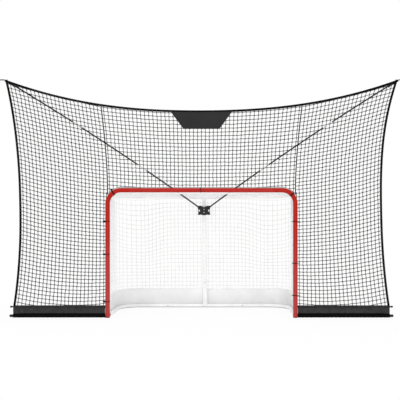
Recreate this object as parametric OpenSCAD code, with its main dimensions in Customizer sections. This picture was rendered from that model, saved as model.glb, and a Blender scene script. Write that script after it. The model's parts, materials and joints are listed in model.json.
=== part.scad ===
// Street hockey goal with a backstop net on two flexible poles.
// X runs to the right, Y away from the shooter, Z up. The floor is z = 0.

/* [Goal mouth] */
// Distance between the centre lines of the two posts
mouth_w = 1829; // [1700:1:1950]
// Clear height under the crossbar
mouth_h = 1219; // [1150:1:1300]
// Outside diameter of the posts and the crossbar
post_d = 44.5; // [40:0.5:48]
// Wall of the posts and the crossbar
post_wall = 1.6; // [1.4:0.1:2.2]
// Centre-line radius of the bend at each top corner
elbow_r = 130; // [110:5:150]
// Straight length of an elbow's end, up to the crossbar's joint
bar_run_len = 87; // [76:1:180]
// How far a swaged tube end goes into the next tube
plug_len = 66; // [55:1:68]
// Height of the flange of the plastic cap under each post
foot_h = 5; // [3:0.5:8]

/* [Rear frame] */
// Front of the posts to the back of the base rail
goal_depth = 762; // [700:1:820]
// Outside diameter of the base rail and the top rail
rail_d = 38; // [34:0.5:40]
// Wall of the rails
rail_wall = 1.5; // [1.4:0.1:2]
// Centre-line radius of the base rail's corners
base_corner_r = 225; // [200:5:250]
// Length of the socket stub behind each post's foot
base_stub_len = 200; // [150:5:220]
// Straight length of a base rail between its corner and its joint
base_run_len = 309; // [280:1:390]
// How far the top rail lies below the crossbar, between centre lines
top_rail_drop = 41; // [36:1:60]
// Front of the posts to the back of the top rail
top_depth = 541; // [500:1:580]
// Centre-line radius of the top rail's corners
top_corner_r = 205; // [180:5:220]
// Length of the stub behind each elbow
top_stub_len = 70; // [60:1:90]
// Distance between the two joints in the top rail
top_joint_span = 320; // [300:5:400]

/* [Centre post] */
// Outside diameter of the sleeve that stands on the base rail
sleeve_d = 50.8; // [50.4:0.1:54]
// Length of that sleeve
sleeve_len = 290; // [250:5:320]
// How deep the centre post stands in the sleeve
sleeve_grip = 120; // [90:5:150]
// Wall of the sleeve
sleeve_wall = 2.9; // [2:0.1:2.9]

/* [Snap buttons] */
// Diameter of a snap button
button_d = 8; // [6:0.5:9]
// How far a button stands out of its tube
button_out = 3.5; // [2.5:0.1:4]
// Distance from a tube joint to the button beside it
button_offset = 25; // [20:1:30]

/* [Backstop outline] */
// Half width at the two top corners
corner_x = 1914; // [1850:1:1980]
// Height of the two top corners
corner_z = 2319; // [2250:1:2400]
// Height of the top edge at the middle
top_mid_z = 2019; // [1980:1:2060]
// Half width at the narrowest place
waist_x = 1767; // [1740:1:1800]
// Height of the narrowest place
waist_z = 1080; // [900:10:1200]
// Half width where the side edges meet the skirts
hem_x = 1834; // [1800:1:1860]
// Width of the binding tape
tape_w = 22; // [14:1:26]
// Thickness of the binding tape and the netting's border
tape_t = 5; // [3:0.5:6]
// Gap between a post and the netting beside it
lace_gap = 29; // [26:1:40]
// How far the seam ropes lean out at the top
seam_lean = 59; // [40:1:80]
// Width of the seam ropes
seam_w = 10; // [8:0.5:14]

/* [Netting] */
// Thickness of the netting's plain cords
cord_w = 7; // [5:0.5:9]
// Width of the netting's border rope
border_w = 10; // [8:0.5:14]
// Columns and rows of gaps in each side panel of the backstop
side_cells = [6, 14]; // [4:1:8]
// Columns and rows of gaps in the centre panel of the backstop
center_cells = [12, 5]; // [4:1:14]
// Columns and rows of gaps in the back of the goal net
back_cells = [12, 8]; // [6:1:14]
// Columns and rows of gaps in each side of the goal net
flank_cells = [4, 8]; // [3:1:9]
// Columns and rows of gaps in the corners of the goal net
corner_cells = [2, 8]; // [1:1:9]
// Columns and rows of gaps in the top of the goal net
roof_cells = [18, 4]; // [2:1:18]
// Thickness of the goal netting and the base pad
goal_net_t = 5; // [3:0.5:5]
// Height of the fabric pad along the base
pad_h = 206; // [150:1:250]
// Gap from the floor to the pad
pad_z = 4; // [2:0.5:10]

/* [Poles and hub] */
// Diameter of the pole rods
rod_d = 15; // [12:0.5:16]
// How far a pole bows up between its ends
pole_bow = 25; // [15:1:40]
// Outside diameter of the ferrules
ferrule_d = 18.6; // [18.2:0.1:20]
// Length of a ferrule
ferrule_len = 105; // [80:1:120]
// How far the hub's middle lies below the top rail
hub_drop = 138; // [125:1:200]
// Width of the hub
hub_w = 130; // [120:1:140]
// Height of the hub
hub_h = 96; // [86:1:104]

/* [Skirts] */
// Height of the upper arm's centre line
arm_upper_z = 106; // [95:1:125]
// Diameter of the upper arm
arm_upper_d = 12; // [10:0.5:13]
// Outside diameter of the skirt's upper sleeve
hem_upper_d = 17; // [16:0.5:22]
// Height of the lower arm's centre line
arm_lower_z = 18; // [17.8:0.1:20]
// Diameter of the lower arm
arm_lower_d = 22; // [20:0.5:24]
// Outside diameter of the skirt's lower sleeve
hem_lower_d = 35; // [32:0.5:35.2]
// Half width at the ends of the arms
arm_end_x = 1850; // [1840:1:1880]
// Thickness of the skirt's fabric
skirt_t = 3; // [2:0.5:4]
// Gap between a post and the skirt beside it
skirt_gap = 9; // [6:1:14]

/* [Banner] */
// Half width of the banner's top edge
banner_top_x = 290; // [200:1:320]
// Half width of the banner's bottom edge
banner_bottom_x = 170; // [120:1:220]
// Height of the banner's bottom edge
banner_z = 1841; // [1800:1:1900]

/* [Hidden] */
$fn = 64;

// clearances
fit = 0.1;      // radial, between a swaged end and its tube
seat = 0.3;     // between fabric and what carries it
swage_len = 3;  // shoulder of a swaged end

// goal mouth
post_x = mouth_w / 2;
post_r = post_d / 2;
post_bore = post_r - post_wall;
bar_z = mouth_h + post_r;
elbow_z = bar_z - elbow_r;
elbow_x = post_x - elbow_r;
bar_joint = elbow_x - bar_run_len;

// rear frame
rail_r = rail_d / 2;
rail_bore = rail_r - rail_wall;
base_y = goal_depth - post_r - rail_r;
base_joint = post_x - base_corner_r - base_run_len;
top_y = top_depth - post_r - rail_r;
top_rail_z = bar_z - top_rail_drop;
top_rail_x = elbow_x + sqrt(pow(elbow_r, 2) - pow(top_rail_z - elbow_z, 2));
top_joint = top_joint_span / 2;
screw_offset = 35;
screw_d = 4.8;

// leaning plane of the centre post and the back of the net
lean = atan2(base_y - top_y, top_rail_z - rail_r);
side_lean = atan2(post_x - top_rail_x, top_rail_z - rail_r);
post_set = sleeve_d / 2 - rail_r;
lean_len = (top_rail_z - rail_r) / cos(lean);
center_from = sleeve_len - sleeve_grip;
center_to = lean_len - rail_r - 2;
post_button_s = sleeve_len - 18;
hub_s = (top_rail_z - hub_drop - rail_r) / cos(lean);

// netting behind the frame: the inner face lies one seat outside the rails
skin = rail_r + seat;
net_front_y = post_r + 2.6;
net_rear_z = top_rail_z + skin;
net_front_z = bar_z - 4;
pad_top_z = pad_z + pad_h;
chamfer = tan(22.5);

// backstop
tape_h = tape_t / 2;
bar_top = bar_z + post_r + 2.7;
hem_z = arm_upper_z + hem_upper_d / 2 + seat;
net_post_x = post_x + post_r + lace_gap;
seam_x0 = post_x + 1;
seam_z0 = elbow_z + sqrt(pow(elbow_r + post_r, 2) - pow(seam_x0 - seam_w / 2 - elbow_x, 2)) + seat;
seam_free_z = bar_top + 1;
corner_in_z = corner_z - 1.45 * tape_w;

// poles
rod_r = rod_d / 2;
ferrule_bore = rod_r + 0.15;
tip_d = ferrule_d;
tip_len = 24;
pole_foot = on_post_point([16, -post_r - 11, hub_s + 4]);
pole_head = [corner_x - 20, tape_h + 14, corner_z - 17];
pole_run = pole_head - pole_foot;
pole_chord = norm(pole_run);
pole_heading = atan2(pole_run.y, pole_run.x);
pole_climb = atan2(pole_run.z, norm([pole_run.x, pole_run.y]));
pole_r = (pow(pole_chord / 2, 2) + pow(pole_bow, 2)) / (2 * pole_bow);
pole_half = asin(pole_chord / 2 / pole_r);
pole_joints = [0, 1 / 3, 2 / 3, 1];
pole_gap = 0.5 / pole_chord;
socket_len = 50;

// the whole part is centred on its own box in Y
front_y = -post_r - 2.5;
back_y = base_y + skin + goal_net_t;
centre_y = -(front_y + back_y) / 2;

// ---------- outlines ----------

// Outer edge of the top binding at x
function top_edge(x) = top_mid_z + (corner_z - top_mid_z) * pow(abs(x) / corner_x, 2.35);
// Outer edge of a side binding at height z
function side_edge(z) = z > waist_z
    ? waist_x + (corner_x - waist_x) * pow((z - waist_z) / (corner_z - waist_z), 2.5)
    : waist_x + (hem_x - waist_x) * pow((waist_z - z) / (waist_z - hem_z), 2.2);
// Inner corner, where the two bindings meet
corner_in_x = side_edge(corner_in_z) - tape_w;
tape_drop = top_edge(corner_in_x) - corner_in_z;
function top_inner(x) = top_edge(x) - tape_drop;
// Middle of the seam rope at height z
function seam(z) = z > seam_free_z
    ? seam_x0 + seam_lean * pow((z - seam_free_z) / (top_mid_z - seam_free_z), 1.6)
    : seam_x0;
seam_top_x = seam(top_mid_z) + 3;
seam_out_z = top_inner(seam_top_x + seam_w / 2 + seat);
seam_in_z = top_inner(seam_top_x - seam_w / 2 - seat);
// Edge of a side panel toward the goal at height z
function panel_inner(z) =
    z < elbow_z + 40 ? net_post_x
    : z < bar_z ? net_post_x + (seam_x0 + seam_w / 2 + seat - net_post_x)
        * (z - elbow_z - 40) / (bar_z - elbow_z - 40)
    : seam(z) + seam_w / 2 + seat;

// Four-sided patch: a point at u across and v up, for the side panel on the right
function side_in(v) = let (z = hem_z + v * (seam_out_z - hem_z))
    [v < 1 ? panel_inner(z) : seam_top_x + seam_w / 2 + seat, z];
function side_out(v) = let (z = hem_z + v * (corner_in_z - hem_z)) [side_edge(z) - tape_w, z];
function side_top(u) = let (x = side_in(1).x + u * (corner_in_x - side_in(1).x)) [x, top_inner(x)];
function side_at(u, v) = (1 - u) * side_in(v) + u * side_out(v)
    + v * (side_top(u) - (1 - u) * side_top(0) - u * side_top(1));

// The same for the centre panel, u from the left seam to the right one
function mid_side(v) = let (z = bar_top + v * (seam_in_z - bar_top))
    [v < 1 ? seam(z) - seam_w / 2 - seat : seam_top_x - seam_w / 2 - seat, z];
function mid_top(u) = let (x = (2 * u - 1) * mid_side(1).x) [x, top_inner(x)];
function mid_at(u, v) = [(2 * u - 1) * mid_side(v).x,
    mid_side(v).y + v * (mid_top(u).y - mid_side(1).y)];

// A flat four-sided patch with corners a, b at the foot and c, d at the top
function quad_at(q, u, v) = (1 - v) * ((1 - u) * q[0] + u * q[1]) + v * ((1 - u) * q[3] + u * q[2]);

// The roof of the goal net: straight sides, then the cut corners in the last row
function roof_at(u, v, n) = let (
        k = v * n,
        y = k < n - 1 ? net_front_y + (roof_knee_y - net_front_y) * k / (n - 1)
            : roof_knee_y + (roof_back_y - roof_knee_y) * (k - n + 1),
        w = k < n - 1 ? roof_x : roof_x + (roof_back_x - roof_x) * (k - n + 1))
    [(2 * u - 1) * w, y];

// Where the patch's grid has a gap, inset by half a cord, or by the border at an edge
function cell_span(i, n, len) = [
    (i + (i == 0 ? border_w : cord_w / 2) * n / len) / n,
    (i + 1 - (i == n - 1 ? border_w : cord_w / 2) * n / len) / n];

// Points of a net's outline and then of every gap, and the paths through them
function gap_points(gaps) = [for (g = gaps) each g];
function gap_paths(first, gaps) = [for (k = [0:len(gaps) - 1]) [for (i = [0:3]) first + 4 * k + i]];

module net_sheet(outline, gaps, t) {
    linear_extrude(t)
        polygon(concat(outline, gap_points(gaps)),
            concat([[for (i = [0:len(outline) - 1]) i]], gap_paths(len(outline), gaps)));
}

// ---------- frames of reference ----------

// A point given in the centre post's own frame: x right, y rear, z along the post
function on_post_point(p) = [p.x,
    base_y + (p.y - post_set) * cos(lean) - p.z * sin(lean),
    rail_r + (p.y - post_set) * sin(lean) + p.z * cos(lean)];

module on_post() {
    translate([0, base_y, rail_r]) rotate([lean, 0, 0]) translate([0, -post_set, 0]) children();
}

// The frame of the right pole's chord: x along it, z the way it bows
module on_pole() {
    translate(pole_foot) rotate([0, -pole_climb, pole_heading]) children();
}

module at_pole_foot() {
    on_pole() rotate([0, 90 - pole_half, 0]) children();
}

module both_sides() {
    children();
    mirror([1, 0, 0]) children();
}

module placed() {
    translate([0, centre_y, 0]) children();
}

// ---------- tubes ----------

module tube(h, r_out, r_in) {
    difference() {
        cylinder(h = h, r = r_out);
        translate([0, 0, -1]) cylinder(h = h + 2, r = r_in);
    }
}

// A swaged end: a shoulder inside the tube's end, then a plug that fits the next tube
module swaged_end(tube_r, tube_bore, wall) {
    translate([0, 0, -swage_len]) tube(swage_len, tube_r, tube_bore - fit - wall);
    translate([0, 0, -swage_len]) tube(swage_len + plug_len, tube_bore - fit, tube_bore - fit - wall);
}

module bend(r_bend, r, angle = 90) {
    rotate_extrude(angle = angle, $fn = 128) translate([r_bend, 0]) circle(r = r, $fn = 64);
}

// Post, elbow and the elbow's end toward the crossbar's joint
module post_run(r, over) {
    translate([post_x, 0, foot_h - over]) cylinder(h = elbow_z - foot_h + over, r = r);
    translate([elbow_x, 0, elbow_z]) rotate([90, 0, 0]) bend(elbow_r, r);
    translate([bar_joint - over, 0, bar_z]) rotate([0, 90, 0])
        cylinder(h = elbow_x - bar_joint + over, r = r);
}

module stub(x, z, len) {
    translate([x, 0, z]) rotate([-90, 0, 0]) {
        tube(len, rail_r, rail_bore);
        translate([0, 0, len]) swaged_end(rail_r, rail_bore, rail_wall);
    }
}

module arm_peg(z, r) {
    translate([post_x + post_bore, 0, z]) rotate([0, 90, 0])
        cylinder(h = post_wall + skirt_gap + 50, r = r);
}

arm_bore_upper = arm_upper_d / 2 - 1.5;
arm_bore_lower = arm_lower_d / 2 - 2;

module post_frame() {
    difference() {
        union() {
            post_run(post_r, 0);
            difference() {
                union() {
                    stub(post_x, rail_r, base_stub_len);
                    stub(top_rail_x, top_rail_z, top_stub_len);
                    arm_peg(arm_upper_z, arm_bore_upper - fit);
                    arm_peg(arm_lower_z, arm_bore_lower - fit);
                }
                post_run(post_r - post_wall / 2, 1);
                translate([post_x, 0, -1]) cylinder(h = foot_h + 1, r = post_r + seat);
            }
        }
        post_run(post_bore, 1);
        bar_button_hole(1);
        rail_screw_hole(post_x, rail_r, base_stub_len);
        rail_screw_hole(top_rail_x, top_rail_z, top_stub_len);
    }
}

module left_post() { color("firebrick") mirror([1, 0, 0]) post_frame(); }
module right_post() { color("firebrick") post_frame(); }

// The crossbar's buttons point to the rear and down, clear of the netting
bar_button_turn = [-135, 0, 0];
module bar_button_hole(side) {
    translate([side * (bar_joint + button_offset), 0, bar_z]) rotate(bar_button_turn)
        cylinder(h = post_r + 1, r = button_d / 2 + seat);
}

module crossbar() {
    color("firebrick") difference() {
        translate([0, 0, bar_z]) rotate([0, 90, 0]) union() {
            translate([0, 0, -bar_joint]) tube(2 * bar_joint, post_r, post_bore);
            translate([0, 0, bar_joint]) swaged_end(post_r, post_bore, post_wall);
            rotate([180, 0, 0]) translate([0, 0, bar_joint]) swaged_end(post_r, post_bore, post_wall);
        }
        for (side = [-1, 1]) bar_button_hole(side);
    }
}

module foot_cap() {
    color("dimgray") translate([post_x, 0, 0]) {
        cylinder(h = foot_h, r = post_r);
        translate([0, 0, foot_h - 1]) tube(26, post_bore - fit, post_bore - fit - 3);
    }
}
module foot_cap_left() { mirror([1, 0, 0]) foot_cap(); }
module foot_cap_right() { foot_cap(); }

// ---------- rails ----------

module rail_screw_hole(x, z, y) {
    translate([x - rail_r - 1, y + screw_offset, z]) rotate([0, 90, 0])
        cylinder(h = rail_r, r = screw_d / 2 + fit);
}

module base_button_hole(side) {
    translate([side * (base_joint + button_offset), base_y, rail_r]) rotate([90, 0, 0])
        cylinder(h = rail_r + 1, r = button_d / 2 + seat);
}

module rail_path(x, y_from, y_to, r_bend, x_to, z, r, over) {
    translate([x, y_from - over, z]) rotate([-90, 0, 0])
        cylinder(h = y_to - r_bend - y_from + over, r = r);
    translate([x - r_bend, y_to - r_bend, z]) bend(r_bend, r);
    translate([x_to - over, y_to, z]) rotate([0, 90, 0])
        cylinder(h = x - r_bend - x_to + over, r = r);
}

module base_rail_side() {
    color("white") difference() {
        rail_path(post_x, base_stub_len, base_y, base_corner_r, base_joint, rail_r, rail_r, 0);
        rail_path(post_x, base_stub_len, base_y, base_corner_r, base_joint, rail_r, rail_bore, 1);
        base_button_hole(1);
        rail_screw_hole(post_x, rail_r, base_stub_len);
    }
}
module base_rail_left() { mirror([1, 0, 0]) base_rail_side(); }
module base_rail_right() { base_rail_side(); }

module top_rail_side() {
    color("white") difference() {
        rail_path(top_rail_x, top_stub_len, top_y, top_corner_r, top_joint, top_rail_z, rail_r, 0);
        rail_path(top_rail_x, top_stub_len, top_y, top_corner_r, top_joint, top_rail_z, rail_bore, 1);
        rail_screw_hole(top_rail_x, top_rail_z, top_stub_len);
    }
}
module top_rail_left() { mirror([1, 0, 0]) top_rail_side(); }
module top_rail_right() { top_rail_side(); }

// A straight rail along X with a swaged end on each side
module rail_middle(half) {
    rotate([0, 90, 0]) {
        translate([0, 0, -half]) tube(2 * half, rail_r, rail_bore);
        translate([0, 0, half]) swaged_end(rail_r, rail_bore, rail_wall);
        rotate([180, 0, 0]) translate([0, 0, half]) swaged_end(rail_r, rail_bore, rail_wall);
    }
}

// A bar along a rail's centre line, wider than what stands on the rail
module rail_core(y, z, r) {
    translate([-sleeve_d, y, z]) rotate([0, 90, 0]) cylinder(h = 2 * sleeve_d, r = r);
}

module post_button_hole() {
    on_post() translate([0, 0, post_button_s]) rotate([90, 0, 0])
        cylinder(h = sleeve_d, r = button_d / 2 + seat);
}

module base_rail_center() {
    color("white") difference() {
        union() {
            translate([0, base_y, rail_r]) rail_middle(base_joint);
            difference() {
                on_post() translate([0, 0, 8])
                    tube(sleeve_len - 8, sleeve_d / 2, sleeve_d / 2 - sleeve_wall);
                rail_core(base_y, rail_r, rail_r - rail_wall / 2);
            }
        }
        for (side = [-1, 1]) base_button_hole(side);
        post_button_hole();
    }
}

top_peg_len = 80;
top_peg_r = post_bore - fit;

module top_rail_center() {
    color("white") difference() {
        union() {
            translate([0, top_y, top_rail_z]) rail_middle(top_joint);
            difference() {
                on_post() translate([0, 0, lean_len - top_peg_len])
                    tube(top_peg_len, top_peg_r, top_peg_r - 2);
                rail_core(top_y, top_rail_z, rail_r - rail_wall / 2);
            }
        }
        post_top_screw_hole();
    }
}

post_screw_s = lean_len - 55;
module post_top_screw_hole() {
    on_post() translate([0, 0, post_screw_s]) rotate([90, 0, 0])
        cylinder(h = post_r + 1, r = screw_d / 2 + fit);
}

module center_post() {
    color("white") difference() {
        on_post() translate([0, 0, center_from]) tube(center_to - center_from, post_r, post_bore);
        rail_core(top_y, top_rail_z, rail_r + seat);
        post_button_hole();
        post_top_screw_hole();
        hub_bolt_holes(3.1);
    }
}

// A self-tapping screw, head outward along Z, its seat at z = 0
module screw() {
    translate([0, 0, fit]) cylinder(h = 3, r = 4.5);
    translate([0, 0, -9]) cylinder(h = 9.5, r = screw_d / 2);
}

module frame_screws() {
    color("silver") {
        both_sides() {
            translate([post_x - rail_r, base_stub_len + screw_offset, rail_r]) rotate([0, -90, 0]) screw();
            translate([top_rail_x - rail_r, top_stub_len + screw_offset, top_rail_z])
                rotate([0, -90, 0]) screw();
        }
        on_post() translate([0, -post_r, post_screw_s]) rotate([90, 0, 0]) screw();
    }
}

// ---------- snap buttons and their leaf springs ----------

// r_out and r_in: the outside of the outer tube and the bore of the inner one.
// The button points along Z, the tubes run along X, z = 0 is their centre line.
button_flange_t = 1.2;
function flange_top(r_in) = sqrt(pow(r_in, 2) - pow(button_d / 2 + 2, 2)) - seat;

module button(r_out, r_in) {
    color("silver") translate([0, 0, flange_top(r_in) - button_flange_t]) rotate_extrude()
        let (top = r_out + button_out - flange_top(r_in) + button_flange_t, r = button_d / 2)
            polygon([[0, 0], [r + 2, 0], [r + 2, button_flange_t], [r, button_flange_t],
                [r, top - 1.6], [r - 0.6, top - 0.5], [r - 2, top], [0, top]]);
}

leaf_t = 0.8;
leaf_w = 8;
module leaf_spring(r_in) {
    top = flange_top(r_in) - button_flange_t - seat;
    low = -sqrt(pow(r_in, 2) - pow(leaf_w / 2, 2)) + seat;
    mid = (top + low) / 2;
    end = 34;
    color("gray") translate([0, leaf_w / 2, 0]) rotate([90, 0, 0]) linear_extrude(leaf_w) polygon([
        [-8, top], [8, top], [end, mid + 2.4], [end + 2.4, mid], [end, mid - 2.4], [8, low], [-8, low],
        [-8, low + leaf_t], [7.8, low + leaf_t], [end - 0.6, mid - 1.7], [end + 1.3, mid],
        [end - 0.6, mid + 1.7], [7.8, top - leaf_t], [-8, top - leaf_t]]);
}

module at_bar_button() {
    translate([bar_joint + button_offset, 0, bar_z]) rotate(bar_button_turn) children();
}
module at_base_button() {
    translate([base_joint + button_offset, base_y, rail_r]) rotate([90, 0, 0]) children();
}
module at_post_button() {
    on_post() translate([0, 0, post_button_s]) rotate([90, 0, 0]) rotate([0, 0, 90]) children();
}

bar_plug_bore = post_bore - fit - post_wall;
rail_plug_bore = rail_bore - fit - rail_wall;

module snap_button_bar_left() { mirror([1, 0, 0]) snap_button_bar_right(); }
module snap_button_bar_right() { at_bar_button() button(post_r, bar_plug_bore); }
module snap_button_base_left() { mirror([1, 0, 0]) snap_button_base_right(); }
module snap_button_base_right() { at_base_button() button(rail_r, rail_plug_bore); }
module snap_button_post() { at_post_button() button(sleeve_d / 2, post_bore); }

module snap_springs() {
    both_sides() {
        at_bar_button() mirror([1, 0, 0]) leaf_spring(bar_plug_bore);
        at_base_button() mirror([1, 0, 0]) leaf_spring(rail_plug_bore);
    }
    at_post_button() mirror([1, 0, 0]) leaf_spring(post_bore);
}

// ---------- hub and poles ----------

hub_plate_t = 26;
hub_front = post_r + hub_plate_t - 2;
hub_bolt_s = [hub_s + 12, hub_s - 20];

module hub_bolt_holes(r) {
    for (s = hub_bolt_s) on_post() translate([0, post_r + 5, s]) rotate([90, 0, 0])
        cylinder(h = post_r + hub_front + 10, r = r);
}

module socket_shell(r, from, to) {
    both_sides() at_pole_foot() translate([0, 0, from]) cylinder(h = to - from, r = r);
}

module hub_outline() {
    w = hub_w / 2;
    h = hub_h / 2;
    right = [[12, h - 11], [22, h - 4], [34, h], [w - 6, h], [w, h - 7], [w, h - 24], [w - 4, h - 36],
        [w - 4, 20 - h], [w, 12 - h], [w, 6 - h], [w - 6, 2 - h], [w - 22, 2 - h], [w - 30, 5 - h],
        [22, 1 - h], [8, -h - 2]];
    polygon(concat([[0, h - 15]], right, [for (i = [len(right) - 1:-1:0]) [-right[i].x, right[i].y]]));
}

module hub_window() {
    for (z = [-9, 3]) translate([hub_w / 2 - 15, z]) circle(r = 6);
    translate([hub_w / 2 - 21, -9]) square([12, 12]);
}

module pole_hub() {
    color([0.09, 0.09, 0.1]) difference() {
        union() {
            on_post() translate([0, -hub_front + hub_plate_t, hub_s]) rotate([90, 0, 0]) difference() {
                linear_extrude(hub_plate_t) hub_outline();
                translate([0, 0, -1]) linear_extrude(hub_plate_t + 2) both_sides() hub_window();
            }
            on_post() translate([-30, -post_r - 3, hub_s - hub_h / 2 + 6]) cube([60, post_r + 1, hub_h - 20]);
            socket_shell(rod_r + 5, -8, socket_len + 6);
        }
        on_post() cylinder(h = lean_len, r = post_r + fit);
        socket_shell(rod_r + 0.2, -0.3, socket_len + 60);
        hub_bolt_holes(3.1);
    }
}

module hub_bolts() {
    color("dimgray") for (s = hub_bolt_s) on_post() translate([0, 0, s]) rotate([90, 0, 0]) {
        translate([0, 0, -post_r - 2.6]) cylinder(h = 2.5, r = 6.5);
        translate([0, 0, -post_r - 1]) cylinder(h = post_r + hub_front + 4, r = 3);
        translate([0, 0, hub_front + fit]) cylinder(h = 5, r = 5.8, $fn = 6);
    }
}

// Part of the pole's arc, from share t0 to share t1 of its length
module pole_arc(t0, t1, r) {
    a0 = -pole_half + 2 * pole_half * t0;
    a1 = -pole_half + 2 * pole_half * t1;
    on_pole() translate([pole_chord / 2, 0, pole_bow - pole_r]) rotate([90, 0, 0]) rotate([0, 0, 90 - a1])
        rotate_extrude(angle = a1 - a0, $fn = 2400) translate([pole_r, 0]) circle(r = r, $fn = 32);
}

module pole_segment(i) {
    color([0.1, 0.1, 0.1])
        pole_arc(pole_joints[i] + (i > 0 ? pole_gap : 0), pole_joints[i + 1] - (i < 2 ? pole_gap : 0), rod_r);
}
module pole_left_inner() { mirror([1, 0, 0]) pole_segment(0); }
module pole_left_middle() { mirror([1, 0, 0]) pole_segment(1); }
module pole_left_outer() { mirror([1, 0, 0]) pole_segment(2); }
module pole_right_inner() { pole_segment(0); }
module pole_right_middle() { pole_segment(1); }
module pole_right_outer() { pole_segment(2); }

module pole_ferrules() {
    half = ferrule_len / 2 / pole_chord;
    color("gainsboro") both_sides() for (i = [1, 2]) difference() {
        pole_arc(pole_joints[i] - half, pole_joints[i] + half, ferrule_d / 2);
        pole_arc(pole_joints[i] - 2 * half, pole_joints[i] + 2 * half, ferrule_bore);
    }
}

// The end of the right pole, z along it
module at_pole_head() {
    on_pole() translate([pole_chord, 0, 0]) rotate([0, 90 + pole_half, 0]) children();
}

module pole_tips() {
    color("dimgray") both_sides() at_pole_head() difference() {
        union() {
            translate([0, 0, 4 - tip_len]) cylinder(h = tip_len - 4, r = tip_d / 2);
            intersection() {
                sphere(r = tip_d / 2);
                translate([0, 0, -1]) cylinder(h = tip_d, r = tip_d / 2 + 1);
            }
        }
        translate([0, 0, -tip_len]) cylinder(h = tip_len + 0.3, r = ferrule_bore);
    }
}

// A sleeve for the pole's tip, on a patch in the angle of the bindings
pocket_len = 84;
patch_w = 92;
patch_h = 40;
module corner_pocket() {
    patch_in_x = corner_x - patch_w;
    room = 2 * pocket_len;
    color([0.08, 0.08, 0.08]) difference() {
        union() {
            at_pole_head() translate([0, 0, -pocket_len])
                cylinder(h = pocket_len + tip_d / 2 + 2.5, r = tip_d / 2 + 2.2);
            translate([0, tape_h + seat + 3, 0]) rotate([90, 0, 0]) linear_extrude(3) polygon([
                [side_edge(corner_z) - 3, corner_z - 4], [patch_in_x, top_edge(patch_in_x) - 3],
                [patch_in_x, corner_z - 0.75 * patch_w],
                [side_edge(corner_z - patch_h) - 3, corner_z - patch_h]]);
        }
        at_pole_head() translate([0, 0, -pocket_len - 1]) cylinder(h = pocket_len + 1, r = tip_d / 2 + seat);
        at_pole_head() sphere(r = tip_d / 2 + seat);
        translate([pole_head.x - room, -tip_d, pole_head.z - room])
            cube([2 * room, tip_d + tape_h + seat, 2 * room]);
    }
}
module corner_pocket_left() { mirror([1, 0, 0]) corner_pocket(); }
module corner_pocket_right() { corner_pocket(); }

// ---------- backstop ----------

module upright(t) {
    rotate([90, 0, 0]) translate([0, 0, -t / 2]) children();
}

module side_net() {
    nu = side_cells[0];
    nv = side_cells[1];
    wide = side_out(0).x - side_in(0).x;
    tall = seam_out_z - hem_z;
    outline = concat(
        [for (i = [0:nu]) side_at(i / nu, 0)],
        [for (j = [1:nv]) side_out(j / nv)],
        [for (i = [nu - 1:-1:0]) side_top(i / nu)],
        [for (j = [nv - 1:-1:1]) side_in(j / nv)]);
    gaps = [for (i = [0:nu - 1], j = [0:nv - 1])
        let (u = cell_span(i, nu, wide), v = cell_span(j, nv, tall))
            [side_at(u[0], v[0]), side_at(u[1], v[0]), side_at(u[1], v[1]), side_at(u[0], v[1])]];
    color([0.12, 0.12, 0.12]) upright(tape_t) net_sheet(outline, gaps, tape_t);
}
module backstop_net_left() { mirror([1, 0, 0]) side_net(); }
module backstop_net_right() { side_net(); }

// Points on the outside of the elbow, from angle a to angle b, swelled so that chords clear the tube
function elbow_arc(r, a, b, n) = [for (i = [0:n]) let (t = a + (b - a) * i / n)
    [elbow_x + r / cos((b - a) / n / 2) * cos(t), elbow_z + r / cos((b - a) / n / 2) * sin(t)]];

module backstop_net_center() {
    nu = center_cells[0];
    nv = center_cells[1];
    wide = 2 * mid_side(0).x;
    tall = seam_in_z - bar_top;
    arc_r = elbow_r + bar_top - bar_z;
    foot_a = acos((mid_side(0).x - elbow_x) / arc_r);
    arc = elbow_arc(arc_r, 90, foot_a + 2, 7);
    foot = concat(arc, [[mid_side(0).x, arc[7].y]]);
    half_out = concat(foot, [for (j = [0:nv]) mid_side(j / nv)],
        [for (i = [nu - 1:-1:nu / 2 + 1]) mid_top(i / nu)]);
    outline = concat([[0, bar_top]], half_out, [mid_top(0.5)],
        [for (i = [len(half_out) - 1:-1:0]) [-half_out[i].x, half_out[i].y]]);
    gaps = [for (i = [0:nu - 1], j = [0:nv - 1])
        let (u = cell_span(i, nu, wide), v = cell_span(j, nv, tall))
            [mid_at(u[0], v[0]), mid_at(u[1], v[0]), mid_at(u[1], v[1]), mid_at(u[0], v[1])]];
    corner = concat(elbow_arc(arc_r + border_w, 72, foot_a + 8, 4),
        [[mid_side(0).x - border_w, bar_top], [elbow_x + 60, bar_top]]);
    color([0.12, 0.12, 0.12]) upright(tape_t) difference() {
        net_sheet(outline, gaps, tape_t);
        translate([0, 0, -1]) linear_extrude(tape_t + 2) both_sides() polygon(corner);
    }
}

tape_steps = 14;
module binding_side() {
    zs = [for (j = [0:tape_steps]) hem_z + (corner_z - hem_z) * j / tape_steps];
    inner = [for (j = [side_cells[1]:-1:0]) side_out(j / side_cells[1])];
    color([0.06, 0.06, 0.06]) upright(tape_t) linear_extrude(tape_t)
        polygon(concat([for (z = zs) [side_edge(z), z]], inner));
}
module binding_left() { mirror([1, 0, 0]) binding_side(); }
module binding_right() { binding_side(); }

module binding_top() {
    nu = side_cells[0];
    nc = center_cells[0];
    half_in = concat([for (i = [nu:-1:0]) side_top(i / nu)], [for (i = [nc:-1:nc / 2]) mid_top(i / nc)]);
    half_out = [for (i = [0:tape_steps - 1]) let (x = corner_x * i / tape_steps) [x, top_edge(x)]];
    half = concat(half_out, [[corner_x, corner_z]], half_in);
    color([0.06, 0.06, 0.06]) upright(tape_t) linear_extrude(tape_t) polygon(concat(half,
        [for (i = [len(half) - 2:-1:1]) [-half[i].x, half[i].y]]));
}

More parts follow.
